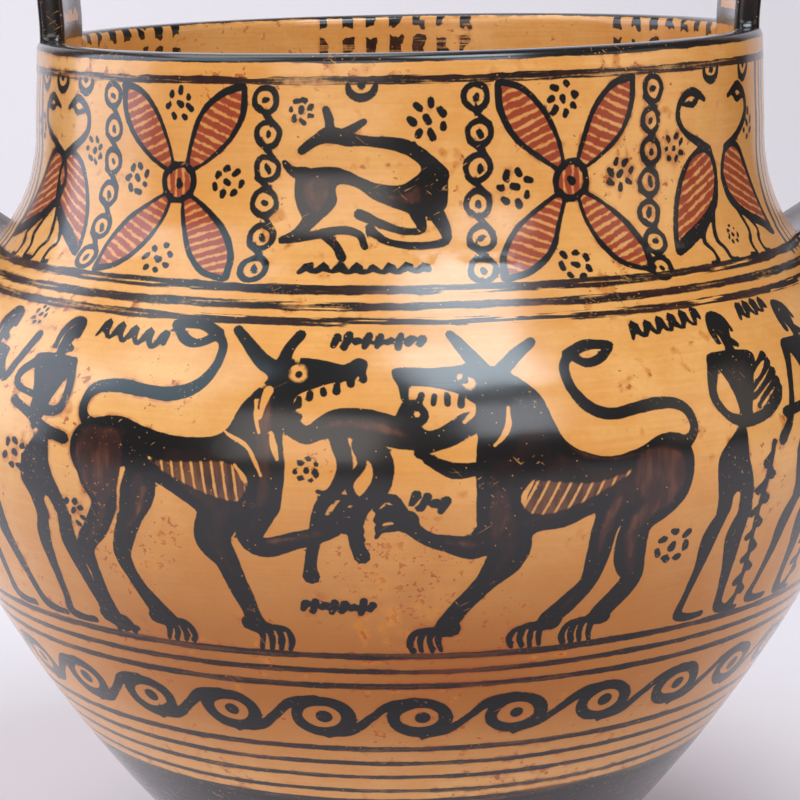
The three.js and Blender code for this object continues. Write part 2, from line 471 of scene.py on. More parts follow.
def left_beast(hand: Hand) -> None:
    """Paint the beast that faces right: head up, jaws open, one forefoot lifted."""
    hand.fill((-56.9, 37.4), (-55.4, 40.6), (-51.6, 42.5), (-47, 42.8), (-42, 41.4), (-36, 40.5),
              (-30, 40.7), (-27.4, 42.4), (-25.6, 46.2), (-22.4, 50), (-20.4, 52.6), (-17.4, 54.8),
              (-13.4, 54.8), (-9, 54), (-6.6, 54.8), (-4.8, 54.6), (-4.8, 52.6), (-8, 51), (-12, 50),
              (-16.2, 48.2), (-17.4, 45.2), (-18.2, 42), (-17.8, 37), (-17.9, 32), (-19.2, 28.2),
              (-23, 25.4), (-27.6, 25.4), (-30.6, 26.6), (-34.8, 29.6), (-38.8, 31.9), (-43.2, 33.8),
              (-45, 31), (-49, 28), (-52.8, 29.8), (-56, 34))
    flank = ((-44.1, 38.2), (-40, 36.5), (-33.9, 36.4), (-27.1, 36.8), (-24.4, 34), (-24.2, 32),
             (-25.6, 30.2), (-29.5, 30.8), (-33.2, 31.9), (-38.7, 34.5), (-41.4, 36.4))
    hand.fill(*flank, coat=Coat.RIBBED, hatch=0.14)
    hand.scrape((-25.8, 36.4, 0.3), (-24.3, 34.2, 0.9), (-24.3, 32.2, 0.8), (-25.2, 30.8, 0.3))
    hand.scrape((-44.2, 38.3, 0.3), (-42.4, 37.4, 0.9), (-40.8, 36.4, 0.5))
    hand.scrape((-27.4, 41.2, 0.4), (-24.2, 39.4, 0.7), (-22.4, 36.6, 0.6), (-21.6, 34.6, 0.3))
    hand.scrape((-21.2, 48.8, 1.5), (-21.8, 46.4, 1.1), (-22.2, 44.2, 0.4))
    hand.scrape((-23.2, 47, 0.4), (-22.9, 44, 0.6), (-22, 41.8, 0.3))
    hand.scrape((-20.2, 41.6, 0.5), (-19.5, 39.8, 1.1), (-19.1, 37.6, 0.4))
    hand.fill((-55.6, 38.6), (-52.4, 41), (-47, 40.4), (-45.6, 35.4), (-47, 29.6), (-51.8, 28.4),
              (-55.2, 33), coat=Coat.THIN)
    hand.fill((-41, 40.2), (-34, 39.8), (-29.6, 39.6), (-33.6, 39), coat=Coat.THIN)
    hand.fill((-23.4, 46.8), (-21, 49.4), (-20, 45.6), (-19.8, 38.4), (-20.4, 31), (-22.6, 29), (-22.4, 36),
              (-23.4, 42), coat=Coat.THIN)
    hand.dot(-16.5, 51.9, 3.2, coat=Coat.BARE)
    hand.dot(-16.6, 51.8, 1.7)
    for x, y in ((-15.9, 47.6), (-14.2, 48.6), (-12.0, 49.4), (-9.8, 50.2), (-7.6, 51.2), (-5.6, 52.2)):
        hand.stroke((x, y, 1.2), (x + 0.05, y - 1, 1.45))
    hand.stroke((-18.2, 46, 3), (-17, 43.2, 3.2), (-14.2, 41.6, 3), (-12, 42.4, 2.2))
    hand.dot(-15.9, 44.4, 1.4)
    hand.stroke((-20.6, 52.4, 3.2), (-23.6, 54.2, 2.9), (-27, 57.6, 2.3), (-29.2, 60, 1.8))
    hand.stroke((-19.4, 53.6, 3), (-18.8, 56.6, 2.6), (-17.2, 59.4, 2))
    hand.stroke((-51, 33, 7.6), (-50.2, 27.6, 4.8), (-53.2, 22.6, 4.6), (-56.5, 18.4, 4), (-56, 13.2, 2.7),
                (-56, 8.4, 2.8), (-55.8, 4.4, 3.4))
    hand.wash((-51.2, 31, 5), (-50.4, 27.4, 2.8), (-53.2, 22.6, 2.4), (-56.2, 18.6, 1.2))
    paw(hand, -56.0, 2.8, 3)
    hand.stroke((-45, 35, 7.6), (-43.2, 31, 6.6), (-45, 26.2, 5), (-47.4, 21.4, 4), (-48.7, 17.6, 3.9),
                (-47.3, 12.6, 3.3), (-45, 8.2, 3.9), (-43, 5.2, 4.2))
    hand.wash((-42, 31, 2.2), (-43.2, 27.4, 1.8), (-46, 23.6, 1))
    hand.scrape((-45.9, 34, 0.8), (-46.7, 30.4, 0.5), (-47.5, 26.6, 0.5))
    paw(hand, -44.2, 4.2, 4)
    hand.stroke((-27, 30, 8.4), (-30, 25.4, 6.6), (-30.3, 22.6, 6.4), (-28.9, 19.2, 4.7), (-27.8, 15.6, 4.3),
                (-26.6, 11.4, 3.6), (-25.8, 8.6, 3.5), (-25.4, 6, 4))
    paw(hand, -25.2, 4.9, 4)
    hand.stroke((-22.6, 28, 6), (-24.2, 23.4, 4.4), (-21.4, 21.9, 3.6), (-17, 23.6, 3.2), (-12.6, 24.8, 3),
                (-10.4, 26, 3))
    hand.wash((-21, 23.4, 2), (-16.4, 24.2, 1.6), (-12.4, 25.2, 1.4))
    reaching_paw(hand, -10.4, 26.6)
    beast_tail(hand.moved(-55.6, 42.2))


def right_beast(hand: Hand) -> None:
    """Paint the beast that faces left: head low, long back, one forefoot lifted."""
    hand.fill((0.9, 52.4), (-1, 53.3), (-6, 53.2), (-10.6, 53.4), (-14.2, 54), (-17.6, 52.6), (-21.2, 50.4),
              (-24, 47.2), (-25.8, 43), (-27.4, 39.8), (-31, 37.6), (-35.6, 36.7), (-40, 37.4),
              (-44.6, 39.3), (-48.4, 38.8), (-50.5, 35.6), (-50.4, 31), (-48.6, 27), (-44, 23.6),
              (-40, 24.6), (-36.4, 28.2), (-32.4, 27), (-27.6, 24.8), (-23, 24.2), (-20.6, 22),
              (-14.6, 20.4), (-12.8, 25.4), (-12.6, 31.4), (-12.4, 38), (-13, 42.4), (-12.4, 46.4),
              (-9.4, 48.6), (-4.6, 49.6), (-0.6, 49.9))
    flank = ((-20, 30.5), (-20.6, 32.4), (-22.6, 33.7), (-26.5, 33), (-30.9, 32.6), (-34.4, 32.9),
             (-40, 34.2), (-37.6, 32.7), (-34.4, 31.1), (-30.5, 29.3), (-25.7, 27.7), (-22.6, 27.5),
             (-20.6, 28.4))
    hand.fill(*flank, coat=Coat.RIBBED, hatch=0.46)
    hand.scrape((-21.6, 33.4, 0.4), (-20.2, 31, 1), (-20.6, 28.6, 0.4))
    hand.fill((-40.4, 37), (-45.4, 37.6), (-49, 35), (-48.8, 30), (-45.2, 26), (-41.4, 27.6), (-39, 32),
              coat=Coat.THIN)
    hand.fill((-15, 32), (-18, 31.6), (-18.4, 27), (-15.6, 23.4), (-14.4, 27.4), coat=Coat.THIN)
    hand.wash((-27.4, 39, 1), (-31.4, 37, 1.6), (-36.4, 36.2, 1.4), (-40.4, 36.6, 1))
    hand.scrape((-15.4, 39.6, 0.3), (-17, 40.8, 0.8), (-18, 42.8, 1.1), (-18.2, 45.6, 0.3))
    hand.scrape((-10.9, 51.4, 1.6), (-12.3, 50, 2.2))
    hand.dot(-11.6, 50.8, 1.5)
    hand.stroke((-1.2, 50, 1.9), (-1.4, 47.8, 1.3))
    for x in (-4.0, -6.2, -8.4, -10.6):
        hand.stroke((x, 48.9 - 0.12 * abs(x), 1.3), (x + 0.1, 47.6 - 0.12 * abs(x), 1.2))
    hand.stroke((-14.4, 44.8, 3.6), (-11.2, 43, 4), (-7.8, 41.2, 3.8), (-4.2, 39.8, 2.8))
    hand.scrape((-12.9, 46.4, 0.5), (-12.3, 44.8, 0.9), (-10.8, 43.4, 0.3))
    hand.stroke((-14.2, 53, 3), (-12, 56.2, 2.6), (-9.6, 59.4, 1.9))
    hand.stroke((-17.8, 52, 3.2), (-21, 55, 2.8), (-24.4, 57.4, 1.9))
    hand.stroke((-37.4, 30, 6.4), (-34.9, 24.6, 5.2), (-34.2, 18.6, 4.6), (-33.2, 13.6, 4.2),
                (-29.8, 9.4, 4), (-26.6, 6.2, 4.2))
    hand.wash((-36.4, 29.4, 2.6), (-34.9, 24.4, 2.6), (-34.4, 18.6, 1.4))
    hand.stroke((-43, 29, 9), (-40.4, 23.6, 6.6), (-40.4, 17.8, 5.6), (-41.8, 13.6, 5), (-40.2, 10.4, 4.4),
                (-37, 6.8, 4.2))
    hand.wash((-42.6, 27, 4), (-40, 22.8, 3.2), (-40.2, 18, 1.6))
    hand.stroke((-17.2, 27, 8), (-18.4, 20.8, 7), (-14.6, 15.4, 4.8), (-11, 10.6, 4), (-8.4, 6.6, 3.8))
    hand.stroke((-15, 25, 5.4), (-12.6, 22.2, 4.6), (-8.4, 22.9, 3.6), (-4.8, 24.2, 3), (-2.2, 26.2, 2.8))
    hand.wash((-12, 22.6, 2.2), (-7.6, 23.6, 1.5))
    for wrist in (-26.4, -36.2, -8.2):
        paw(hand, wrist, 4.6)
    reaching_paw(hand, -1.6, 27.2)
    beast_tail(hand.moved(-51.6, 39.0, 0.92))


def limp_goat(hand: Hand) -> None:
    """Paint a small goat that hangs between the two pairs of jaws."""
    hand.stroke((-13.4, 41.8, 3.2), (-9.6, 43.6, 4.8), (-4, 43.4, 5.2), (1, 41.8, 4.6), (5, 40.8, 3),
                (7.4, 42, 2))
    hand.wash((-11, 43.4, 2), (-4, 43.4, 2.4), (1.4, 41.6, 1.8))
    hand.fill((0.2, 42.6), (0, 45.4), (1.4, 47.2), (3.6, 47.2), (5.2, 45.6), (5, 43.8), (3, 42.4))
    hand.dot(3.2, 45.0, 0.9, coat=Coat.BARE)
    hand.stroke((3.6, 38.8, 1.8), (6.4, 37, 1.5), (9.6, 36.2, 1.5), (12.6, 36.4, 1.4))
    hand.stroke((4.6, 37.4, 1.2), (8.6, 35, 1.1), (12.6, 35.2, 1.1))
    hand.stroke((-9.4, 41, 3.2), (-8, 36.6, 2.8), (-9.6, 33, 2.4), (-12.2, 29.4, 2.4), (-13.4, 23.6, 2.3),
                (-14.2, 19, 2.3), (-14.4, 16.6, 3))
    hand.stroke((-5, 41, 3.4), (-2.4, 37.2, 3), (-2.6, 33.4, 3), (-5.6, 29.6, 2.8), (-6.8, 25.2, 2.3),
                (-6.4, 22.4, 2.4), (-5.8, 20.6, 2.9))
    hand.stroke((-6.4, 40, 2), (-5.6, 37, 1.6), (-7.4, 33.8, 1.5), (-6.2, 31, 1.3))
    hand.line(1, (-12.4, 32.6), (-9, 31.8), (-5.4, 31.2))


class Arms(Enum):
    """What a standing figure does with its arms."""

    LYRE = "holds a small lyre"
    RAISED = "lifts one hand"
    BELTED = "keeps its hands at the waist, over a slanting belt"
    REACHING = "reaches for a branch"


def standing_man(hand: Hand, arms: Arms, hips: float = 0.0) -> None:
    """Paint a dark, wasp-waisted figure that walks right, standing on y = 0.

    Args:
        hand: Where to paint it.
        arms: What it does with its arms.
        hips: How far its hips and legs come forward.
    """
    lower = hand.moved(hips, 0.0)
    hand.fill((-3, 51.2), (0.6, 52), (7.2, 51.4), (7.8, 49.6), (5.8, 46.2), (3.4, 41.2), (2.2, 38.6),
              (0.8, 38.6), (0.2, 43.6), (-1.4, 48))
    hand.stroke((3, 51, 2), (3, 53.6, 2.2), (3.3, 55.6, 3.4), (3.8, 56.6, 2.6))
    hand.stroke((0.9, 53.6, 1.4), (0.9, 56.2, 1.9), (2.4, 58.6, 2), (4.8, 58.2, 1.8), (5.6, 55.8, 1.2))
    hand.stroke((3.8, 53.6, 1.9), (5.2, 52.9, 1.3))
    lower.fill((0.8, 39), (-2.2, 36.8), (-4.8, 33.6), (-5.2, 30.2), (-4, 26.2), (-3.2, 22.2), (-0.6, 22.6),
               (-0.4, 26.2), (0.6, 26.8), (2, 22.4), (4.4, 22.8), (3.8, 28), (2, 33), (1.8, 37))
    lower.stroke((-2, 23.4, 2.8), (-3.6, 18.6, 3.4), (-4, 12.4, 2.4), (-4.6, 6.2, 1.9), (-4.8, 2.6, 2.4),
                 (-2, 1.6, 1.9), (1.2, 1.6, 1.5))
    lower.stroke((3.2, 23.6, 3), (2.6, 18.2, 4), (3.6, 12, 2.8), (4.6, 6, 2.2), (5.8, 2.4, 2.5),
                 (9, 1.4, 1.8), (11.6, 1.2, 1.3))
    if arms is Arms.LYRE:
        hand.stroke((-2.4, 50.4, 2.4), (-4.6, 44.4, 1.9), (-2.4, 40.8, 1.9), (1, 39.2, 2.2),
                    (6.2, 39.6, 1.9), (10.4, 41.6, 1.7), (11.9, 44, 1.2))
        for string in range(5):
            drop = 1.55 * string
            hand.stroke((4.2 + 0.3 * string, 46.0 - drop, 0.9), (8.2 + 0.3 * string, 48.6 - drop, 1),
                        (10.6 + 0.3 * string, 50.2 - drop, 1.7))
    elif arms is Arms.REACHING:
        hand.stroke((-2.4, 50.4, 2.2), (-4.6, 44.4, 1.8), (-7, 37.8, 1.8), (-9.4, 34.6, 2.2))
        hand.stroke((7, 50, 2.2), (8.4, 44.6, 1.8), (3, 41.4, 1.8), (-4, 39.4, 1.9), (-8, 39, 2))
    else:
        hand.stroke((7, 50.6, 2.2), (7.8, 46.4, 1.8), (7, 42.2, 1.8), (3, 41.6, 1.8), (0.6, 42.2, 1.6))
        hand.stroke((-1.6, 50.6, 2), (-5.2, 47.6, 1.8), (-4.6, 45.4, 1.6), (0.4, 44.2, 1.4))
    if arms is Arms.RAISED:
        hand.stroke((6.4, 50, 2), (9.6, 45.4, 1.9), (11.6, 49, 1.9), (14, 54.2, 2.2))
    elif arms is Arms.BELTED:
        hand.stroke((-4.4, 43, 1.6), (0.6, 40.6, 2), (4.4, 38.6, 2.2), (8.8, 37.4, 2.3))


def leafy_branch(hand: Hand, length: float, sway: float) -> None:
    """Paint an upright twig with leaves on both sides, from y = 0 upwards."""
    pitch = 2.4

    def bend(y: float) -> float:
        """Return how far the twig has swayed at a height."""
        return sway * math.sin(0.16 * y + 1.2)

    hand.line(1.2, *[(bend(y), y) for y in np.linspace(0, length, 6)])
    for leaf in range(int(length / pitch)):
        y = pitch / 2 + pitch * leaf
        x = bend(y)
        side = 1 if leaf % 2 else -1
        hand.stroke((x, y + 1.3, 1.1), (x + side * 1.3, y - 0.2, 1.9))


def spiral_link(hand: Hand, pitch: float) -> None:
    """Paint one ring of the running spiral with its dot and the curl that leads to the next ring."""
    hand.ring(0, 0, 4.7, 2.5, 0.82)
    hand.dot(0.2, 0.1, 2.9)
    hand.stroke((0.6, -4.3, 2), (4.8, -3.4, 2.2), (pitch * 0.5, 0, 1.9), (pitch - 5.2, 3.3, 2.3),
                (pitch - 0.8, 4.3, 2.2))
    hand.stroke((1.4, -4.4, 1.8), (0.4, -5.4, 0.6))


# Neck, in millimetres round it and above its ground line, repeated behind
NECK_RADIUS_FLAT = 71.0
NECK_GROUND = 128.0
NECK_SEED = 11
NECK_CHAIN_TOP = 41.0
NECK_CHAINS = ((-56.8, 6, 29.6, 0.0), (-23.2, 6, 29.4, 0.0), (13.4, 6, 29.6, 0.5), (44.8, 7, 31.6, -5.6))
NECK_QUATREFOILS = ((-40.5, 26.3), (30.0, 26.4))
NECK_PETAL_REACH = (13.0, 16.8)
NECK_CRANE_GROUND = 8.8
NECK_CRANES = ((-80.0, False), (-68.0, True), (58.0, False), (75.0, True))
NECK_LOOP_HEIGHT = 43.2
NECK_LOOPS = (-84.5, -75.0, -65.5, -6.6, 64.4, 78.0)
NECK_DEER_GROUND = 8.0
NECK_ROSETTES = ((-40.4, 40.0, 1.0), (-50.0, 26.6, 1.0), (-30.6, 26.8, 1.0), (-41.0, 12.6, 1.0),
                 (-17.0, 39.2, 0.8), (4.6, 37.4, 1.15), (19.6, 25.8, 1.1), (28.6, 40.0, 1.05),
                 (40.0, 27.0, 1.0), (29.0, 11.6, 1.0), (-62.4, 30.8, 0.9), (53.0, 30.4, 0.9),
                 (66.0, 13.8, 0.65), (79.6, 33.0, 0.95), (-87.6, 33.6, 1.0))
NECK_UPRIGHTS = ((-95.0, 1.2), (-91.6, 1.1), (-88.2, 1.6), (86.4, 1.6), (89.6, 1.1), (93.0, 1.2))
NECK_UPRIGHT_HEIGHTS = (6.8, 20.0, 34.0, 43.6)

# Belly: the beasts' scene in front, and a row of cranes from where it ends
BEAST_RADIUS_FLAT = 92.0
BEAST_GROUND = 73.0
BEAST_SEED = 23
MAN_GROUND = 0.2
MEN = ((-65.8, 2.0, Arms.BELTED, 3.6), (-84.2, 2.5, Arms.RAISED, 3.6), (60.0, -1.5, Arms.LYRE, 0.0),
       (79.4, -2.5, Arms.REACHING, 0.0))
BRANCHES = ((68.8, 33.0), (88.0, 18.0))
BRANCH_GROUND = 1.6
BRANCH_SWAY = 1.3
BEAST_ZIGZAGS = ((-58.4, 56.8, 17.0, 5, -1.6), (44.2, 56.4, 18.0, 6, 1.8), (71.6, 57.4, 10.4, 4, 0.8))
BEAST_DAB_ROWS = ((-11.0, 58.2, 0.0, 17.0, 9), (-16.4, 10.4, 0.0, 13.4, 8), (2.4, 31.2, -14.0, 6.4, 4))
BEAST_ROSETTES = ((-57.2, 25.2, 0.85), (-69.9, 33.8, 1.0), (48.8, 18.6, 1.25), (-76.0, 59.0, 0.75),
                  (-14.2, 36.0, 0.75))
BACK_START = 97.0
BACK_CRANES = 10
BACK_CRANE_SCALE = 1.42
BACK_ROSETTES = ((38.0, 1.2), (12.0, 1.0))

# Running spiral, measured from the middle of its rings
SPIRAL_RADIUS_FLAT = 80.0
SPIRAL_MIDDLE = 59.6
SPIRAL_SEED = 37
SPIRAL_RINGS = 29
SPIRAL_SHIFT = 3.8


def neck_picture() -> Picture:
    """Paint the neck: bird pairs, bead chains, quatrefoils and a resting deer, the same behind."""
    picture = Picture(NECK_RADIUS_FLAT, NECK_GROUND, NECK_SEED)
    half_round = math.pi * NECK_RADIUS_FLAT
    for behind, turn in ((False, 0.0), (True, half_round)):
        for x, beads, length, lean in NECK_CHAINS:
            chain = picture.at(turn + x, NECK_CHAIN_TOP - length, lean=lean)
            bead_chain(chain, beads, length / (beads - 1))
        for x, y in NECK_QUATREFOILS:
            quatrefoil(picture.at(turn + x, y), NECK_PETAL_REACH)
        for x, flip in NECK_CRANES:
            crane(picture.at(turn + x, NECK_CRANE_GROUND, flip))
        for x in NECK_LOOPS:
            hanging_loop(picture.at(turn + x, NECK_LOOP_HEIGHT))
        for x, y, size in NECK_ROSETTES:
            rosette(picture.at(turn + x, y, scale=size, lean=17 * x))
        resting_deer(picture.at(turn, NECK_DEER_GROUND, behind))
        if not behind:
            zigzag(picture.at(turn - 15.4, 11.4), 21.0, 8, 1.1)
        for x, width in NECK_UPRIGHTS:
            picture.at(turn + x, 0).line(width, *((0.0, y) for y in NECK_UPRIGHT_HEIGHTS))
    return picture


def beast_picture() -> Picture:
    """Paint the belly: two beasts over their prey between standing figures, and cranes behind."""
    picture = Picture(BEAST_RADIUS_FLAT, BEAST_GROUND, BEAST_SEED)
    left_beast(picture.at(0, 0))
    right_beast(picture.at(0, 0, True))
    limp_goat(picture.at(0, 0))
    for x, lean, arms, hips in MEN:
        standing_man(picture.at(x, MAN_GROUND, lean=lean), arms, hips)
    for x, length in BRANCHES:
        leafy_branch(picture.at(x, BRANCH_GROUND), length, BRANCH_SWAY)
    for x, y, length, teeth, rise in BEAST_ZIGZAGS:
        zigzag(picture.at(x, y), length, teeth, 2.6, rise)
    for x, y, lean, length, dabs in BEAST_DAB_ROWS:
        dab_row(picture.at(x, y, lean=lean), length, dabs)
    for x, y, size in BEAST_ROSETTES:
        rosette(picture.at(x, y, scale=size, lean=23 * x))
    half_round = math.pi * BEAST_RADIUS_FLAT
    pitch = 2 * (half_round - BACK_START) / BACK_CRANES
    for place in range(BACK_CRANES):
        x = BACK_START + pitch * (place + 0.5)
        crane(picture.at(x - 3.0, 0.6, place % 2 == 1, BACK_CRANE_SCALE))
        for y, size in BACK_ROSETTES:
            rosette(picture.at(x + pitch / 2, y, scale=size))
        zigzag(picture.at(x - 8.0, 57.4), 16.0, 6, 2.2)
    return picture


def spiral_picture() -> Picture:
    """Paint the running spiral below the beasts."""
    picture = Picture(SPIRAL_RADIUS_FLAT, SPIRAL_MIDDLE, SPIRAL_SEED)
    pitch = 2 * math.pi * SPIRAL_RADIUS_FLAT / SPIRAL_RINGS
    for ring in range(SPIRAL_RINGS):
        spiral_link(picture.at(SPIRAL_SHIFT + (ring - SPIRAL_RINGS // 2) * pitch, 0), pitch)
    return picture


def bezier(points: Sequence[tuple[float, float]], steps: int) -> np.ndarray:
    """Sample a cubic curve.

    Args:
        points: The curve's four control points.
        steps: Number of stretches.

    Returns:
        The samples, one more than steps.
    """
    a, b, c, d = (np.array(p, dtype=float) for p in points)
    share = np.linspace(0, 1, steps + 1)[:, None]
    rest = 1 - share
    return rest**3 * a + 3 * rest**2 * share * b + 3 * rest * share**2 * c + share**3 * d


@dataclass(frozen=True)
class PotShape:
    """Sizes of the thrown body, in millimetres, the same as the solid's.

    The outer face is two curves of radius and height, from the stem over the belly to the foot of the neck,
    and a straight neck up to the lip.
    """

    foot_radius: float = 40.0
    foot_height: float = 6.0
    foot_edge: float = 2.0
    foot_ring: float = 10.0
    recess: float = 2.5
    stem_radius: float = 36.5
    belly_radius: float = 95.1
    belly_height: float = 103.4
    neck_radius: float = 70.1
    neck_foot: float = 155.0
    rim_radius: float = 69.4
    rim_height: float = 173.8
    wall: float = 5.0
    floor: float = 6.5
    lip_round: float = 2.0
    lower_fullness: float = 0.42
    belly_fullness: float = 0.11
    shoulder_fullness: float = 0.475
    neck_fullness: float = 0.49

    LOWER_STEPS = 120
    SHOULDER_STEPS = 90
    INNER_LOWER_STEPS = 26
    INNER_SHOULDER_STEPS = 22
    EDGE_POINTS = 7
    FLOOR_CORNER = ((3.0, 0.6), (7.0, 0.0))
    FLOOR_MARGIN = 2.0
    FLOOR_MIDDLE = 0.4

    def lower(self, steps: int) -> np.ndarray:
        """Return the outer face from the stem to the belly's widest ring."""
        span = self.belly_height - self.foot_height
        full = self.lower_fullness * span
        return bezier(
            (
                (self.stem_radius, self.foot_height),
                (self.stem_radius + full, self.foot_height + full),
                (self.belly_radius, self.belly_height - self.belly_fullness * span),
                (self.belly_radius, self.belly_height),
            ),
            steps,
        )

    def shoulder(self, steps: int) -> np.ndarray:
        """Return the outer face from the belly's widest ring to the foot of the neck."""
        span = self.neck_foot - self.belly_height
        return bezier(
            (
                (self.belly_radius, self.belly_height),
                (self.belly_radius, self.belly_height + self.shoulder_fullness * span),
                (self.neck_radius, self.neck_foot - self.neck_fullness * span),
                (self.neck_radius, self.neck_foot),
            ),
            steps,
        )

    def outer(self) -> np.ndarray:
        """Return the painted outer face, from the stem to just under the lip."""
        top = np.array([[self.rim_radius, self.rim_height - self.lip_round]])
        return np.vstack([self.lower(self.LOWER_STEPS), self.shoulder(self.SHOULDER_STEPS)[1:], top])

    def corner(self, start: tuple[float, float], tip: tuple[float, float], end: tuple[float, float]) -> list:
        """Return a rounded corner between two points, bulging towards its tip."""
        points = []
        for share in np.linspace(0, 1, self.EDGE_POINTS):
            blend = [(1 - share) ** 2 * s + 2 * share * (1 - share) * t + share**2 * e
                     for s, t, e in zip(start, tip, end)]
            points.append(tuple(blend))
        return points

    def underside(self) -> list[tuple[float, float]]:
        """Return the foot's profile, from the axis below to the stem."""
        inner = self.foot_radius - self.foot_ring
        radius, edge, height = self.foot_radius, self.foot_edge, self.foot_height
        return [
            (0.0, self.recess),
            (inner * 0.5, self.recess),
            (inner - self.recess, self.recess),
            (inner, 0.0),
            *self.corner((radius - edge, 0.0), (radius, 0.0), (radius, edge)),
            *self.corner((radius, height - edge), (radius, height), (radius - edge, height)),
            (self.stem_radius, height),
        ]

    def hollow(self) -> list[tuple[float, float]]:
        """Return the lip and the inner face, from under the lip outside to the floor's middle."""
        inner, lip, top = self.rim_radius - self.wall, self.lip_round, self.rim_height
        points = [
            *self.corner((self.rim_radius, top - lip), (self.rim_radius, top), (self.rim_radius - lip, top)),
            *self.corner((inner + lip, top), (inner, top), (inner, top - lip)),
        ]
        floor_top = self.recess + self.floor
        lower, shoulder = self.lower(self.INNER_LOWER_STEPS), self.shoulder(self.INNER_SHOULDER_STEPS)
        face = np.vstack([lower, shoulder[1:]])[::-1]
        along = np.gradient(face, axis=0)
        along /= np.linalg.norm(along, axis=1, keepdims=True)
        inside = face + np.stack([along[:, 1], -along[:, 0]], axis=1) * self.wall
        points += [tuple(p) for p in inside if p[1] > floor_top + self.FLOOR_MARGIN]
        last = points[-1][0]
        points += [(last - inwards, floor_top + rise) for inwards, rise in self.FLOOR_CORNER]
        return points + [(last * self.FLOOR_MIDDLE, floor_top), (0.0, floor_top)]


@dataclass(frozen=True)
class StrapShape:
    """Sizes of one strap handle, in millimetres, the same as the solid's."""

    width: float = 29.0
    thickness: float = 5.0
    edge_round: float = 1.9
    root_thickness: float = 8.0
    rise: float = 45.0
    reach: float = 103.0
    arch_height: float = 26.0
    elbow: float = 164.0
    root_height: float = 130.0
    rim_grip: float = 12.0
    pitch: float = 1.7

    RIM_SEAT = 0.5
    ARCH_POINTS = 60
    FALL_STEPS = 40
    SHOULDER_STEPS = 200

    def middle(self, pot: PotShape) -> np.ndarray:
        """Return the strap's middle line as radius and height, at even distances.

        Args:
            pot: The body that the strap stands on.
        """
        start = pot.rim_radius - pot.wall / 2 - self.RIM_SEAT
        centre, reach = (start + self.reach) / 2, (self.reach - start) / 2
        spring = pot.rim_height + self.rise - self.thickness / 2 - self.arch_height
        shoulder = pot.shoulder(self.SHOULDER_STEPS)
        root = float(np.interp(self.root_height, shoulder[:, 1], shoulder[:, 0])) - pot.wall / 2
        drop = self.elbow - self.root_height
        turn = np.linspace(math.pi, 0, self.ARCH_POINTS)
        arch = np.stack([centre + reach * np.cos(turn), spring + self.arch_height * np.sin(turn)], axis=1)
        fall = bezier(
            (
                (self.reach, self.elbow),
                (self.reach, self.elbow - drop / 2),
                ((self.reach + root) / 2, self.root_height + drop / 4),
                (root, self.root_height),
            ),
            self.FALL_STEPS,
        )
        line = np.vstack([[[start, pot.rim_height - self.rim_grip]], arch, fall])
        gone = np.concatenate([[0], np.cumsum(np.linalg.norm(np.diff(line, axis=0), axis=1))])
        even = np.linspace(0, gone[-1], round(gone[-1] / self.pitch) + 1)
        return np.stack([np.interp(even, gone, line[:, 0]), np.interp(even, gone, line[:, 1])], axis=1)


def deselect() -> None:
    """Leave nothing selected."""
    bpy.ops.object.select_all(action="DESELECT")


def only(obj: bpy.types.Object) -> None:
    """Make an object the only selected and the active one."""
    deselect()
    obj.select_set(True)
    bpy.context.view_layer.objects.active = obj


def edit(obj: bpy.types.Object) -> None:
    """Open an object for editing, with all of it selected."""
    only(obj)
    bpy.ops.object.mode_set(mode="EDIT")
    bpy.ops.mesh.select_all(action="SELECT")


def close_edit() -> None:
    """Leave edit mode."""
    bpy.ops.object.mode_set(mode="OBJECT")


def mesh_object(name: str, vertices: np.ndarray, edges: Sequence, faces: Sequence) -> bpy.types.Object:
    """Return a new object from places in millimetres.

    Args:
        name: The object's name.
        vertices: Places in millimetres, one per row.
        edges: Pairs of vertex numbers.
        faces: Vertex numbers of each face.
    """
    mesh = bpy.data.meshes.new(name)
    mesh.from_pydata((np.asarray(vertices) * MM).tolist(), edges, faces)
    obj = bpy.data.objects.new(name, mesh)
    bpy.context.scene.collection.objects.link(obj)
    return obj


def places_of(obj: bpy.types.Object) -> np.ndarray:
    """Return an object's vertices in millimetres, one per row."""
    flat = np.empty(len(obj.data.vertices) * 3)
    obj.data.vertices.foreach_get("co", flat)
    return flat.reshape(-1, 3) / MM


def move_to(obj: bpy.types.Object, places: np.ndarray) -> None:
    """Put an object's vertices at places in millimetres."""
    obj.data.vertices.foreach_set("co", (places * MM).ravel())
    obj.data.update()


def thinned(points: np.ndarray, distances: np.ndarray) -> np.ndarray:
    """Keep points in order, leaving out each one that lies too near a kept one.

    Args:
        points: Places in the plane, the important ones first.
        distances: Least distance of each point to the kept ones.

    Returns:
        The kept points.
    """
    cell = float(distances.max())
    kept: dict[tuple[int, int], list[tuple[float, float]]] = {}
    result = []
    for (x, y), distance in zip(points.tolist(), distances.tolist()):
        column, row = math.floor(x / cell), math.floor(y / cell)
        near = any(
            (px - x) ** 2 + (py - y) ** 2 < distance * distance
            for a in (column - 1, column, column + 1)
            for b in (row - 1, row, row + 1)
            for px, py in kept.get((a, b), ())
        )
        if not near:
            kept.setdefault((column, row), []).append((x, y))
            result.append((x, y))
    return np.array(result)


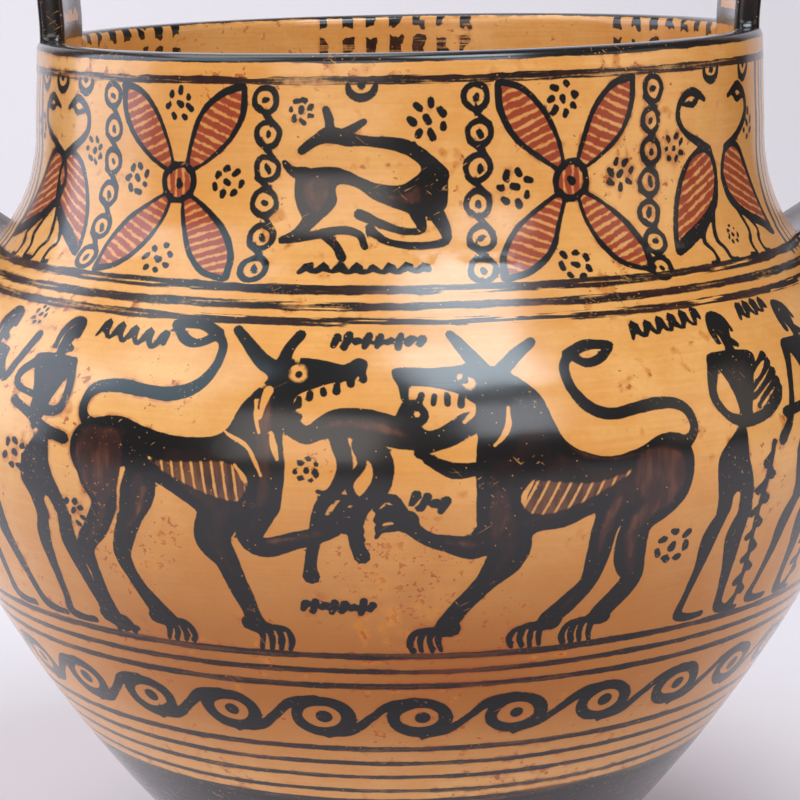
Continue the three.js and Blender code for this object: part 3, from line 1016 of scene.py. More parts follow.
@dataclass
class Brushwork:
    """All the pictures on the pot's wall, as fields that a place on the wall can be looked up in."""

    pot: PotShape
    pictures: list[Picture]

    NEAR = 3.0
    EDGE_RING = 0.55

    def __post_init__(self) -> None:
        """Measure the length along the outer face up to each height."""
        face = self.pot.outer()
        self.heights = face[:, 1]
        self.radii = face[:, 0]
        self.lengths = np.concatenate([[0], np.cumsum(np.linalg.norm(np.diff(face, axis=0), axis=1))])

    def length_at(self, height: float | np.ndarray) -> np.ndarray:
        """Return the length along the outer face from the stem to a height."""
        return np.interp(height, self.heights, self.lengths)

    def guides(self, flat_radius: float) -> tuple[np.ndarray, np.ndarray, np.ndarray]:
        """Return the places round and along the wall that the mesh needs: middles, edges and just outside.

        Args:
            flat_radius: Radius that lengths round the pot are measured at.
        """
        groups: tuple[list, list, list] = ([], [], [])
        for picture in self.pictures:
            base = float(self.length_at(picture.ground))
            for mark in picture.marks:
                for group, points in zip(groups, mark.guides(self.EDGE_RING)):
                    turned = points[:, 0] / picture.radius
                    turned = (turned + math.pi) % (2 * math.pi) - math.pi
                    group.append(np.stack([turned * flat_radius, points[:, 1] + base], axis=1))
        return tuple(np.vstack(group) for group in groups)

    def fields(self, turns: np.ndarray, lengths: np.ndarray) -> dict[str, np.ndarray]:
        """Return how deep places lie in each coat.

        Args:
            turns: Angle of each place round the pot, from the front, in radians.
            lengths: Length of each place along the outer face, in millimetres.

        Returns:
            Depth in each of the FILMS, and the coordinate across hatch lines.
        """
        far = -self.NEAR
        result = {name: np.full(len(turns), far) for name in FILMS}
        result["hatch"] = np.zeros(len(turns))
        for picture in self.pictures:
            base = float(self.length_at(picture.ground))
            rows = lengths - base
            around = 2 * math.pi * picture.radius
            x_all = turns * picture.radius
            for mark in picture.marks:
                low_x, high_x, low_y, high_y = mark.box(self.NEAR)
                tall = (rows > low_y) & (rows < high_y)
                x = (x_all - low_x) % around + low_x
                near = np.flatnonzero(tall & (x < high_x))
                if not len(near):
                    continue
                places = np.stack([x[near], rows[near]], axis=1)
                depth = np.clip(mark.depth(places), far, self.NEAR)
                if mark.coat is Coat.BARE:
                    result["slip"][near] = np.minimum(result["slip"][near], -depth)
                    continue
                name = mark.coat.value
                if mark.coat in (Coat.RED, Coat.RIBBED):
                    mine = depth > result[name][near]
                    across = places[:, 0] * math.cos(mark.hatch) + places[:, 1] * math.sin(mark.hatch)
                    result["hatch"][near] = np.where(mine, across, result["hatch"][near])
                result[name][near] = np.maximum(result[name][near], depth)
        return result


@dataclass
class Vase:
    """The whole pot as one mesh.

    Attributes:
        pot: Sizes of the thrown body.
        strap: Sizes of the handles.
    """

    pot: PotShape = field(default_factory=PotShape)
    strap: StrapShape = field(default_factory=StrapShape)

    # Mesh of the wall: spacing of its points, in millimetres
    FLAT = 85.0
    COLUMNS = 180
    ROW_PITCH = 2.5
    GRID = 3.6
    ROW_SHARE = 0.87
    JOINT_GRID = 1.6
    JOINT_HALF_WIDTH = 24
    JOINT_HALF_HEIGHT = 13
    JOINT_LIFT = 4
    RIM_JOINT = 7
    BORDER_GAP = 1e-3
    STROKE_GAP = 0.46
    CLAY_GAP = 1.25
    OWN_EDGE = 1.5
    SEAM_MARGIN = 0.6
    END_MARGIN = 0.8
    WELD = 0.02

    # Handles: how the straight strap is bent, dished and thickened
    EDGE_SEGMENTS = 4
    STRAP_CUTS = 7
    CUT_MARGIN = 4
    RIM_BEND_RADIUS = 67.0
    RIM_BEND_TOP = 200.0
    RIM_BEND_FADE = 24.0
    ROOT_BEND_RADIUS = 84.0
    ROOT_BEND_START = 0.78
    FLARE_START = 0.8
    DISH = -0.3
    FACE_GAP = 2.0

    # Joints that were smoothed with wet clay
    JOINT_REACH = 3.4
    JOINT_STRENGTH = 0.5
    JOINT_PASSES = 7

    # Where paint of the outside and of the handles ends, in millimetres
    HOLLOW_DEPTH = 2.4
    HOLLOW_FLOOR = 8.0
    LIP_RADIUS = 66.9
    LIP_DEPTH = 6.0
    LIP_PROUD = 0.6
    STRAP_PROUD = 0.35
    STRAP_EDGE = 0.9
    STRAP_INNER = 58
    STRAP_HALF_WIDTH = 21
    STRAP_LOWEST = 110

    # A hand-thrown unevenness: size, waves round the pot, phase and height of a wave of each swell
    SWELLS = ((0.14, 2, 0.6, 43), (0.08, 3, -1.1, 19), (0.035, 9, 0.0, 7))
    FINGER_SIZE = 0.03
    FINGER_PITCH = 1.9
    GROUND_FADE = 20
    OUTSIDE_RADIUS = 75
    AXIS_RADIUS = 1e-6
    NECK_ZONE = (126, 154)
    RIM_ZONE = (140, 174)
    LIP_ZONE = (168.6, 172.4)
    TILT = 0.012
    NECK_SWELL = 0.35
    NECK_SHIFT = 1.1
    LIP_DROP = 0.7
    LIP_LEAN = 0.0101

    def __post_init__(self) -> None:
        """Paint the pictures before the clay is shaped, because the mesh follows them."""
        self.brushwork = Brushwork(self.pot, [neck_picture(), beast_picture(), spiral_picture()])
        self.line = self.strap.middle(self.pot)
        self.half = math.pi * self.FLAT
        self.top = float(self.brushwork.lengths[-1])

    def wall(self) -> bpy.types.Object:
        """Return the painted wall, with points along every brush stroke."""
        groups = (
            (self.border_points(), self.BORDER_GAP),
            (self.stroke_points(), self.STROKE_GAP),
            (self.grid_points(), self.CLAY_GAP),
        )
        gaps = np.concatenate([np.full(len(points), gap) for points, gap in groups])
        points = thinned(np.vstack([points for points, _ in groups]), gaps)
        found = delaunay_2d_cdt([Vector(p) for p in points.tolist()], [], [], 0, 1e-6)
        flat = np.array([tuple(v) for v in found[0]])
        turn = flat[:, 0] / self.FLAT
        radius = np.interp(flat[:, 1], self.brushwork.lengths, self.brushwork.radii)
        height = np.interp(flat[:, 1], self.brushwork.lengths, self.brushwork.heights)
        places = np.stack([radius * np.sin(turn), -radius * np.cos(turn), height], axis=1)
        return mesh_object("wall", places, [], found[2])

    def border_points(self) -> np.ndarray:
        """Return the points round the edge of the flat wall, which match those of foot, lip and seam."""
        columns = np.linspace(-self.half, self.half, self.COLUMNS + 1)
        rows = np.linspace(0, self.top, round(self.top / self.ROW_PITCH) + 1)[1:-1]
        level = [np.stack([columns, np.full(len(columns), row)], axis=1) for row in (0.0, self.top)]
        upright = [np.stack([np.full(len(rows), side), rows], axis=1) for side in (-self.half, self.half)]
        return np.vstack(level + upright)

    def stroke_points(self) -> np.ndarray:
        """Return the points on and along the brush strokes, without edges that lie deep in other paint."""
        middles, *borders = self.brushwork.guides(self.FLAT)
        borders = np.vstack(borders)
        fields = self.brushwork.fields(borders[:, 0] / self.FLAT, borders[:, 1])
        nearest = np.min([np.abs(fields[name]) for name in FILMS], axis=0)
        points = np.vstack([middles, borders[nearest < self.OWN_EDGE]])
        beside = np.abs(points[:, 0]) < self.half - self.SEAM_MARGIN
        between = (points[:, 1] > self.END_MARGIN) & (points[:, 1] < self.top - self.END_MARGIN)
        return points[beside & between]

    def grid_points(self) -> np.ndarray:
        """Return evenly spread points for the bare clay, denser where a handle joins."""
        half = self.half
        points = []
        for pitch in (self.JOINT_GRID, self.GRID):
            rows = np.arange(pitch, self.top - pitch / 2, pitch * self.ROW_SHARE)
            for number, row in enumerate(rows):
                across = np.arange(-half + pitch * (0.5 + 0.5 * (number % 2)), half - pitch * 0.4, pitch)
                points.append(np.stack([across, np.full(len(across), row)], axis=1))
            if pitch == self.JOINT_GRID:
                close = np.vstack(points)
                side = np.abs(np.abs(close[:, 0]) - half / 2)
                height = np.interp(close[:, 1], self.brushwork.lengths, self.brushwork.heights)
                root = np.abs(height - self.strap.root_height - self.JOINT_LIFT) < self.JOINT_HALF_HEIGHT
                rim = height > self.pot.rim_height - self.RIM_JOINT
                points = [close[(side < self.JOINT_HALF_WIDTH) & (root | rim)]]
        return np.vstack(points)

    def turned(self, name: str, profile: Sequence[tuple[float, float]]) -> bpy.types.Object:
        """Return a profile of radius and height spun round the axis."""
        places = np.array([(0.0, -radius, height) for radius, height in profile])
        links = [(number, number + 1) for number in range(len(places) - 1)]
        obj = mesh_object(name, places, links, [])
        edit(obj)
        bpy.ops.mesh.spin(steps=self.COLUMNS, angle=2 * math.pi, center=(0, 0, 0), axis=(0, 0, 1))
        bpy.ops.mesh.select_all(action="SELECT")
        bpy.ops.mesh.remove_doubles(threshold=self.WELD / 2 * MM)
        close_edit()
        return obj

    def body(self) -> bpy.types.Object:
        """Return the closed hollow body: wall, foot, lip and hollow as one skin."""
        wall = self.wall()
        foot = self.turned("foot", self.pot.underside())
        hollow = self.turned("hollow", self.pot.hollow())
        deselect()
        for part in (wall, foot, hollow):
            part.select_set(True)
        bpy.context.view_layer.objects.active = wall
        bpy.ops.object.join()
        edit(wall)
        bpy.ops.mesh.remove_doubles(threshold=self.WELD * MM)
        bpy.ops.mesh.normals_make_consistent(inside=False)
        close_edit()
        return wall

    def handle(self) -> bpy.types.Object:
        """Return the right-hand strap, pushed out of a rounded section along its line."""
        line = self.line
        strap = self.strap
        deselect()
        bpy.ops.mesh.primitive_plane_add(size=1, location=(0, 0, 0))
        obj = bpy.context.active_object
        obj.name = "strap"
        edit(obj)
        bpy.ops.transform.resize(value=(strap.thickness * MM, strap.width * MM, 1))
        bpy.ops.transform.translate(value=(line[0, 0] * MM, 0, line[0, 1] * MM))
        bpy.ops.mesh.bevel(offset=strap.edge_round * MM, segments=self.EDGE_SEGMENTS, affect="VERTICES")
        for cut in np.linspace(-0.5, 0.5, self.STRAP_CUTS + 2)[1:-1]:
            side = cut * (strap.width - self.CUT_MARGIN) * MM
            bpy.ops.mesh.select_all(action="SELECT")
            bpy.ops.mesh.bisect(plane_co=(0, side, 0), plane_no=(0, 1, 0))
        bpy.ops.mesh.select_all(action="SELECT")
        heading = np.array([math.atan2(step[0], step[1]) for step in np.gradient(line, axis=0)])
        for number in range(1, len(line)):
            step = (line[number] - line[number - 1]) * MM
            move = {"value": (step[0], 0, step[1])}
            bpy.ops.mesh.extrude_region_move(TRANSFORM_OT_translate=move)
            centre = (line[number, 0] * MM, 0, line[number, 1] * MM)
            bpy.ops.transform.rotate(
                value=-(heading[number] - heading[number - 1]), orient_axis="Y", center_override=centre
            )
        bpy.ops.mesh.select_all(action="SELECT")
        bpy.ops.mesh.normals_make_consistent(inside=False)
        close_edit()
        self.soften(obj)
        return obj

    def soften(self, obj: bpy.types.Object) -> None:
        """Bend the strap to the rim's round, thicken its root and dish its faces a little, as fingers do."""
        places = places_of(obj)
        _, gap, share = self.strap_place(places)
        line_normal = np.gradient(self.line, axis=0)
        line_normal /= np.linalg.norm(line_normal, axis=1, keepdims=True)
        number = np.clip((share * (len(self.line) - 1)).round().astype(int), 0, len(self.line) - 1)
        out = np.stack([line_normal[number, 1], -line_normal[number, 0]], axis=1)
        growth = self.strap.root_thickness / self.strap.thickness - 1
        flare = self.eased(share, self.FLARE_START, 1.0)
        edge = np.abs(places[:, 1]) / (self.strap.width / 2)
        dish = self.DISH * np.sign(gap) * np.clip(1 - edge**2, 0, 1) * (np.abs(gap) > self.FACE_GAP)
        shift = gap * growth * flare + dish
        places[:, 0] += out[:, 0] * shift
        places[:, 2] += out[:, 1] * shift
        inner = places[:, 0] < (self.strap.reach + self.line[0, 0]) / 2
        rim = np.clip((self.RIM_BEND_TOP - places[:, 2]) / self.RIM_BEND_FADE, 0, 1) * inner
        root = np.clip((share - self.ROOT_BEND_START) / (1 - self.ROOT_BEND_START), 0, 1)
        for radius, bend in ((self.RIM_BEND_RADIUS, rim), (self.ROOT_BEND_RADIUS, root)):
            places[:, 0] -= places[:, 1] ** 2 / (2 * radius) * bend
        move_to(obj, places)

    def strap_place(self, places: np.ndarray) -> tuple[np.ndarray, np.ndarray, np.ndarray]:
        """Find places beside the strap's middle line.

        Args:
            places: Places in millimetres, one per row.

        Returns:
            Each place's length along the line, its signed distance off the line and its share of the line.
        """
        radius = np.abs(places[:, 0])
        start, end = self.line[:-1], self.line[1:]
        run = end - start
        length = np.linalg.norm(run, axis=1)
        best = np.full(len(places), np.inf)
        along = np.zeros(len(places))
        gap = np.zeros(len(places))
        gone = 0.0
        for number in range(len(run)):
            off_x = radius - start[number, 0]
            off_z = places[:, 2] - start[number, 1]
            unit = run[number] / length[number]
            share = np.clip(off_x * unit[0] + off_z * unit[1], 0, length[number])
            side = off_x * unit[1] - off_z * unit[0]
            away = np.hypot(off_x - share * unit[0], off_z - share * unit[1])
            closer = away < best
            best = np.where(closer, away, best)
            along = np.where(closer, gone + share, along)
            gap = np.where(closer, side, gap)
            gone += float(length[number])
        return along, gap, along / gone

    def joined(self) -> bpy.types.Object:
        """Return body and handles as one closed skin with worked-over joints."""
        body = self.body()
        right = self.handle()
        only(right)
        bpy.ops.object.duplicate()
        left = bpy.context.active_object
        edit(left)
        bpy.ops.transform.rotate(value=math.pi, orient_axis="Z", center_override=(0, 0, 0))
        close_edit()
        clay = bpy.data.materials.new("clay")
        marker = bpy.data.materials.new("marker")
        body.data.materials.append(clay)
        for strap in (right, left):
            strap.data.materials.append(marker)
            only(body)
            union = body.modifiers.new("joined", "BOOLEAN")
            union.operation = "UNION"
            union.solver = "EXACT"
            union.object = strap
            bpy.ops.object.modifier_apply(modifier=union.name)
            bpy.data.objects.remove(strap)
        self.work_joints(body)
        body.data.materials.clear()
        bpy.data.materials.remove(clay)
        bpy.data.materials.remove(marker)
        return body

    def work_joints(self, body: bpy.types.Object) -> None:
        """Smooth the clay where a strap meets the body."""
        mesh = body.data
        sides: dict[int, set[int]] = {}
        for face in mesh.polygons:
            for corner in face.vertices:
                sides.setdefault(corner, set()).add(face.material_index)
        joint = [corner for corner, found in sides.items() if len(found) > 1]
        LOG.info("joint vertices: %d", len(joint))
        tree = KDTree(len(joint))
        for number, corner in enumerate(joint):
            tree.insert(mesh.vertices[corner].co, number)
        tree.balance()
        edit(body)
        bpy.ops.mesh.quads_convert_to_tris()
        bpy.ops.mesh.select_all(action="DESELECT")
        skin = bmesh.from_edit_mesh(mesh)
        skin.select_mode = {"VERT"}
        for vertex in skin.verts:
            found = tree.find(vertex.co)
            vertex.select_set(found[2] is not None and found[2] < self.JOINT_REACH * MM)
        skin.select_flush_mode()
        bmesh.update_edit_mesh(mesh)
        bpy.ops.mesh.vertices_smooth(factor=self.JOINT_STRENGTH, repeat=self.JOINT_PASSES)
        close_edit()

    def paint(self, obj: bpy.types.Object) -> None:
        """Write what the shader reads into the mesh: depths in the paint, and where on the pot a point is."""
        places = places_of(obj)
        turns = np.arctan2(places[:, 0], -places[:, 1])
        radius = np.hypot(places[:, 0], places[:, 1])
        outer = np.interp(places[:, 2], self.brushwork.heights, self.brushwork.radii)
        proud = radius - outer
        under_lip = (radius < self.LIP_RADIUS) | (places[:, 2] < self.pot.rim_height - self.LIP_DEPTH)
        inside = (proud < -self.HOLLOW_DEPTH) & (places[:, 2] > self.HOLLOW_FLOOR) & under_lip
        fields = self.brushwork.fields(turns, self.brushwork.length_at(places[:, 2]))
        for name in FILMS:
            fields[name][inside] = -Brushwork.NEAR
        along = self.strap_place(places)[0]
        above = places[:, 2] - self.pot.rim_height - self.LIP_PROUD
        strap = np.clip((np.maximum(proud, above) - self.STRAP_PROUD) / self.STRAP_EDGE, 0, 1)
        beside, across = np.abs(places[:, 0]), np.abs(places[:, 1])
        near_strap = (beside > self.STRAP_INNER) & (across < self.STRAP_HALF_WIDTH)
        strap = np.where(near_strap & (places[:, 2] > self.STRAP_LOWEST), strap, 0.0)
        fields.update(
            level=places[:, 2],
            inside=inside.astype(float),
            strap=strap,
            along=np.where(near_strap, along, 0.0),
            across=np.where(near_strap, places[:, 1], 0.0),
        )
        for name, values in fields.items():
            attribute = obj.data.attributes.new(name, "FLOAT", "POINT")
            attribute.data.foreach_set("value", values.astype(np.float32))

    @staticmethod
    def eased(values: np.ndarray, low: float, high: float) -> np.ndarray:
        """Return a soft step from 0 to 1 between two values."""
        share = np.clip((values - low) / (high - low), 0, 1)
        return share * share * (3 - 2 * share)

    def unsettle(self, obj: bpy.types.Object) -> None:
        """Give the clay a hand-thrown unevenness and let the rim lean."""
        places = places_of(obj)
        turn = np.arctan2(places[:, 0], -places[:, 1])
        height = places[:, 2]
        swell = sum(
            size * np.sin(waves * turn + phase + height / rise) for size, waves, phase, rise in self.SWELLS
        )
        swell = swell + self.FINGER_SIZE * np.sin(height / self.FINGER_PITCH + np.sin(turn))
        zones = (self.RIM_ZONE, self.NECK_ZONE, self.LIP_ZONE)
        rim, neck, lip = (self.eased(height, low, high) for low, high in zones)
        ground = np.clip(height / self.GROUND_FADE, 0, 1)
        radius = np.maximum(np.hypot(places[:, 0], places[:, 1]), self.AXIS_RADIUS)
        swell = (swell + self.NECK_SWELL * neck * (radius < self.OUTSIDE_RADIUS)) * ground
        places[:, 0] += (places[:, 0] / radius) * swell + self.NECK_SHIFT * neck
        places[:, 1] += (places[:, 1] / radius) * swell
        places[:, 2] += self.TILT * places[:, 0] * rim - (self.LIP_DROP - self.LIP_LEAN * places[:, 1]) * lip
        move_to(obj, places)

    def build(self) -> bpy.types.Object:
        """Return the finished mesh, painted and ready for its material."""
        obj = self.joined()
        obj.name = "painted_vase"
        self.paint(obj)
        self.unsettle(obj)
        only(obj)
        bpy.ops.object.shade_smooth()
        LOG.info("vase: %d vertices, %d faces", len(obj.data.vertices), len(obj.data.polygons))
        return obj


def arithmetic(operation: str, swapped: bool = False) -> Callable[..., "Value"]:
    """Return a method that does one arithmetic step with its own and other numbers.

    Args:
        operation: The step, as a Math node names it.
        swapped: Whether the other number comes first.
    """

    def method(self: "Value", *others: "Number") -> "Value":
        """Return the result of the step."""
        return self.shader.math(operation, *(others + (self,) if swapped else (self,) + others))

    return method


@dataclass(frozen=True, eq=False)
class Value:
    """A number in a shader that ordinary arithmetic can be written with.

    Attributes:
        shader: The material that it belongs to.
        socket: The socket that gives it.
    """

    shader: "Shader"
    socket: bpy.types.NodeSocket

    __add__ = __radd__ = arithmetic("ADD")
    __sub__ = arithmetic("SUBTRACT")
    __rsub__ = arithmetic("SUBTRACT", swapped=True)
    __mul__ = __rmul__ = arithmetic("MULTIPLY")
    __truediv__ = arithmetic("DIVIDE")
    __abs__ = arithmetic("ABSOLUTE")
    least = arithmetic("MINIMUM")
    most = arithmetic("MAXIMUM")

    def off_whole(self) -> "Value":
        """Return the distance to the nearest whole number."""
        return abs(self - self.shader.math("ROUND", self))

    def rise(self, low: float, high: float) -> "Value":
        """Return a soft step from 0 at one number to 1 at another."""
        return self.shader.step(self, low, high)

    def towards(self, other: "Number", share: "Number") -> "Value":
        """Return a blend of two numbers."""
        return self + (other - self) * share


Number = Value | float


class Shader:
    """A procedural material, written as expressions."""

    def __init__(self, name: str) -> None:
        """Start a material with only its output and its main surface."""
        self.material = bpy.data.materials.new(name)
        self.material.use_nodes = True
        self.tree = self.material.node_tree
        self.surface = self.tree.nodes["Principled BSDF"]

    def node(self, kind: str, settings: dict | None = None, **values: object) -> bpy.types.Node:
        """Add a node.

        Args:
            kind: The node's type, without its ShaderNode start.
            settings: Options of the node.
            values: Numbers, colours or links of its inputs, by name with _ for a space.

        Returns:
            The node.
        """
        node = self.tree.nodes.new("ShaderNode" + kind)
        for name, setting in (settings or {}).items():
            setattr(node, name, setting)
        for name, value in values.items():
            self.feed(node.inputs[name.replace("_", " ")], value)
        return node

    def feed(self, socket: bpy.types.NodeSocket, value: object) -> None:
        """Set an input to a constant or link it."""
        if isinstance(value, Value):
            self.tree.links.new(value.socket, socket)
        elif isinstance(value, bpy.types.NodeSocket):
            self.tree.links.new(value, socket)
        else:
            socket.default_value = value

    def dress(self, **values: object) -> None:
        """Set inputs of the main surface, by name with _ for a space."""
        for name, value in values.items():
            self.feed(self.surface.inputs[name.replace("_", " ")], value)

    def math(self, operation: str, *values: Number) -> Value:
        """Return the result of one arithmetic step."""
        node = self.node("Math", {"operation": operation})
        for socket, value in zip(node.inputs, values):
            self.feed(socket, value)
        return Value(self, node.outputs[0])

    def step(self, value: Value, low: float, high: float) -> Value:
        """Return a soft step from 0 to 1."""
        settings = {"interpolation_type": "SMOOTHSTEP"}
        node = self.node("MapRange", settings, Value=value, From_Min=low, From_Max=high)
        return Value(self, node.outputs["Result"])

    def attribute(self, name: str) -> Value:
        """Return a number that the mesh carries."""
        return Value(self, self.node("Attribute", {"attribute_name": name}).outputs["Fac"])

    def stretched(self, place: bpy.types.NodeSocket, *scale: float) -> bpy.types.NodeSocket:
        """Return a place multiplied along each axis."""
        node = self.node("VectorMath", {"operation": "MULTIPLY"})
        self.feed(node.inputs[0], place)
        self.feed(node.inputs[1], scale)
        return node.outputs[0]

    def noise(
        self, place: bpy.types.NodeSocket, scale: float, detail: float = 2.0, rough: float = 0.5
    ) -> Value:
        """Return cloudy noise around 0, mostly between -0.3 and 0.3.

        Args:
            place: Where the noise is read.
            scale: How many clouds lie side by side on a millimetre.
            detail: How many finer layers it has.
            rough: How strong the finer layers are.
        """
        node = self.node("TexNoise", None, Vector=place, Scale=scale, Detail=detail, Roughness=rough)
        return Value(self, node.outputs[0]) - 0.5

    def spots(self, place: bpy.types.NodeSocket, scale: float) -> Value:
        """Return the distance to the nearest of scattered spots, with 1 for one cell."""
        node = self.node("TexVoronoi", None, Vector=place, Scale=scale)
        return Value(self, node.outputs["Distance"])

    def mix(self, share: Number, start: object, end: object) -> bpy.types.NodeSocket:
        """Return a blend of two colours."""
        node = self.node("Mix", {"data_type": "RGBA"})
        self.feed(node.inputs[0], share)
        self.feed(node.inputs[6], start)
        self.feed(node.inputs[7], end)
        return node.outputs[2]


class ClayPoint:
    """A point of the pot's skin as its material knows it, with the noises that wear and tone follow.

    Attributes:
        shader: The pot's material.
        turn: Angle round the pot, in radians from the front.
        level: Height on the body before it was unsettled, in millimetres.
        inside: 1 on the hollow's face, otherwise 0.
        strap: 1 on a handle, otherwise 0.
        fine: Noise finer than a millimetre.
        middle: Noise of a few millimetres.
        broad: Noise of about a centimetre.
        cloud: Noise of several centimetres.
        streak: Noise drawn out round the pot, as on a wheel.
        brush: Noise drawn out upwards, as a brush leaves it.
        scrape: Noise of long thin scratches in two directions.
        pinhole: 1 in scattered tiny holes, otherwise 0.
    """

    STREAK_STRETCH = (0.07, 0.07, 1.5)
    BRUSH_STRETCH = (0.42, 0.42, 0.10)
    SCRAPE_STRETCH = (8.0, 0.42, 0.42)
    SCRAPE_SLANTS = (0.75, -0.5)
    PINHOLE_SCALE = 0.62

    def __init__(self, shader: Shader) -> None:
        """Read the point's place and the mesh's numbers, and set up the noises."""
        self.shader = shader
        place = shader.stretched(shader.node("TexCoord").outputs["Object"], 1 / MM, 1 / MM, 1 / MM)
        parts = shader.node("SeparateXYZ", None, Vector=place)
        x, y = Value(shader, parts.outputs["X"]), Value(shader, parts.outputs["Y"])
        self.turn = shader.math("ARCTAN2", x, y * -1.0)
        self.level = shader.attribute("level")
        self.inside = shader.attribute("inside").rise(0.3, 0.7)
        self.strap = shader.attribute("strap").rise(0.35, 0.65)
        self.fine = shader.noise(place, 1.0, 2.0, 0.6)
        self.middle = shader.noise(place, 0.40, 1.0)
        self.broad = shader.noise(place, 0.11, 2.0, 0.6)
        self.cloud = shader.noise(place, 0.022, 2.0, 0.55)
        self.streak = shader.noise(shader.stretched(place, *self.STREAK_STRETCH), 1.0, 2.0, 0.6)
        self.brush = shader.noise(shader.stretched(place, *self.BRUSH_STRETCH), 1.0, 2.0, 0.6)
        first, second = (self.scrapes(shader, place, slant) for slant in self.SCRAPE_SLANTS)
        self.scrape = first.most(second)
        self.pinhole = 1.0 - shader.spots(place, self.PINHOLE_SCALE).rise(0.05, 0.10)

    @classmethod
    def scrapes(cls, shader: Shader, place: bpy.types.NodeSocket, slant: float) -> Value:
        """Return a noise of long thin scratches that lean by an angle in radians."""
        kind, turn = {"vector_type": "TEXTURE"}, (0.0, slant, 0.0)
        turned = shader.node("Mapping", kind, Vector=place, Rotation=turn, Scale=cls.SCRAPE_STRETCH)
        return shader.noise(turned.outputs["Vector"], 1.0, 1.0)


@dataclass(frozen=True)
class Band:
    """One painted line round the pot.

    Attributes:
        height: Height of its middle, in millimetres.
        width: Its width, in millimetres.
        wear: How much of it is rubbed away, from 0 to 1.
    """

    height: float
    width: float
    wear: float


BANDS = (
    Band(168.1, 1.6, 0.5),
    Band(133.9, 1.5, 0.75),
    Band(131.4, 1.3, 0.8),
    Band(129.2, 1.3, 0.85),
    Band(72.8, 1.4, 0.35),
    Band(69.7, 1.2, 0.4),
    Band(66.5, 1.3, 0.2),
    Band(52.5, 1.3, 0.2),
    Band(49.1, 1.1, 0.3),
    Band(45.8, 1.1, 0.25),
    Band(42.4, 1.0, 0.25),
)


@dataclass(frozen=True)
class Stain:
    """A place where the clay is blotched.

    Attributes:
        turn: Place round the pot, in radians from the front.
        level: Height, in millimetres.
        reach: Half of its width, in millimetres.
    """

    turn: float
    level: float
    reach: float


STAINS = (
    Stain(0.02, 88.0, 17.0),
    Stain(-0.50, 92.0, 13.0),
    Stain(-0.10, 108.0, 9.0),
    Stain(-0.42, 167.0, 14.0),
)


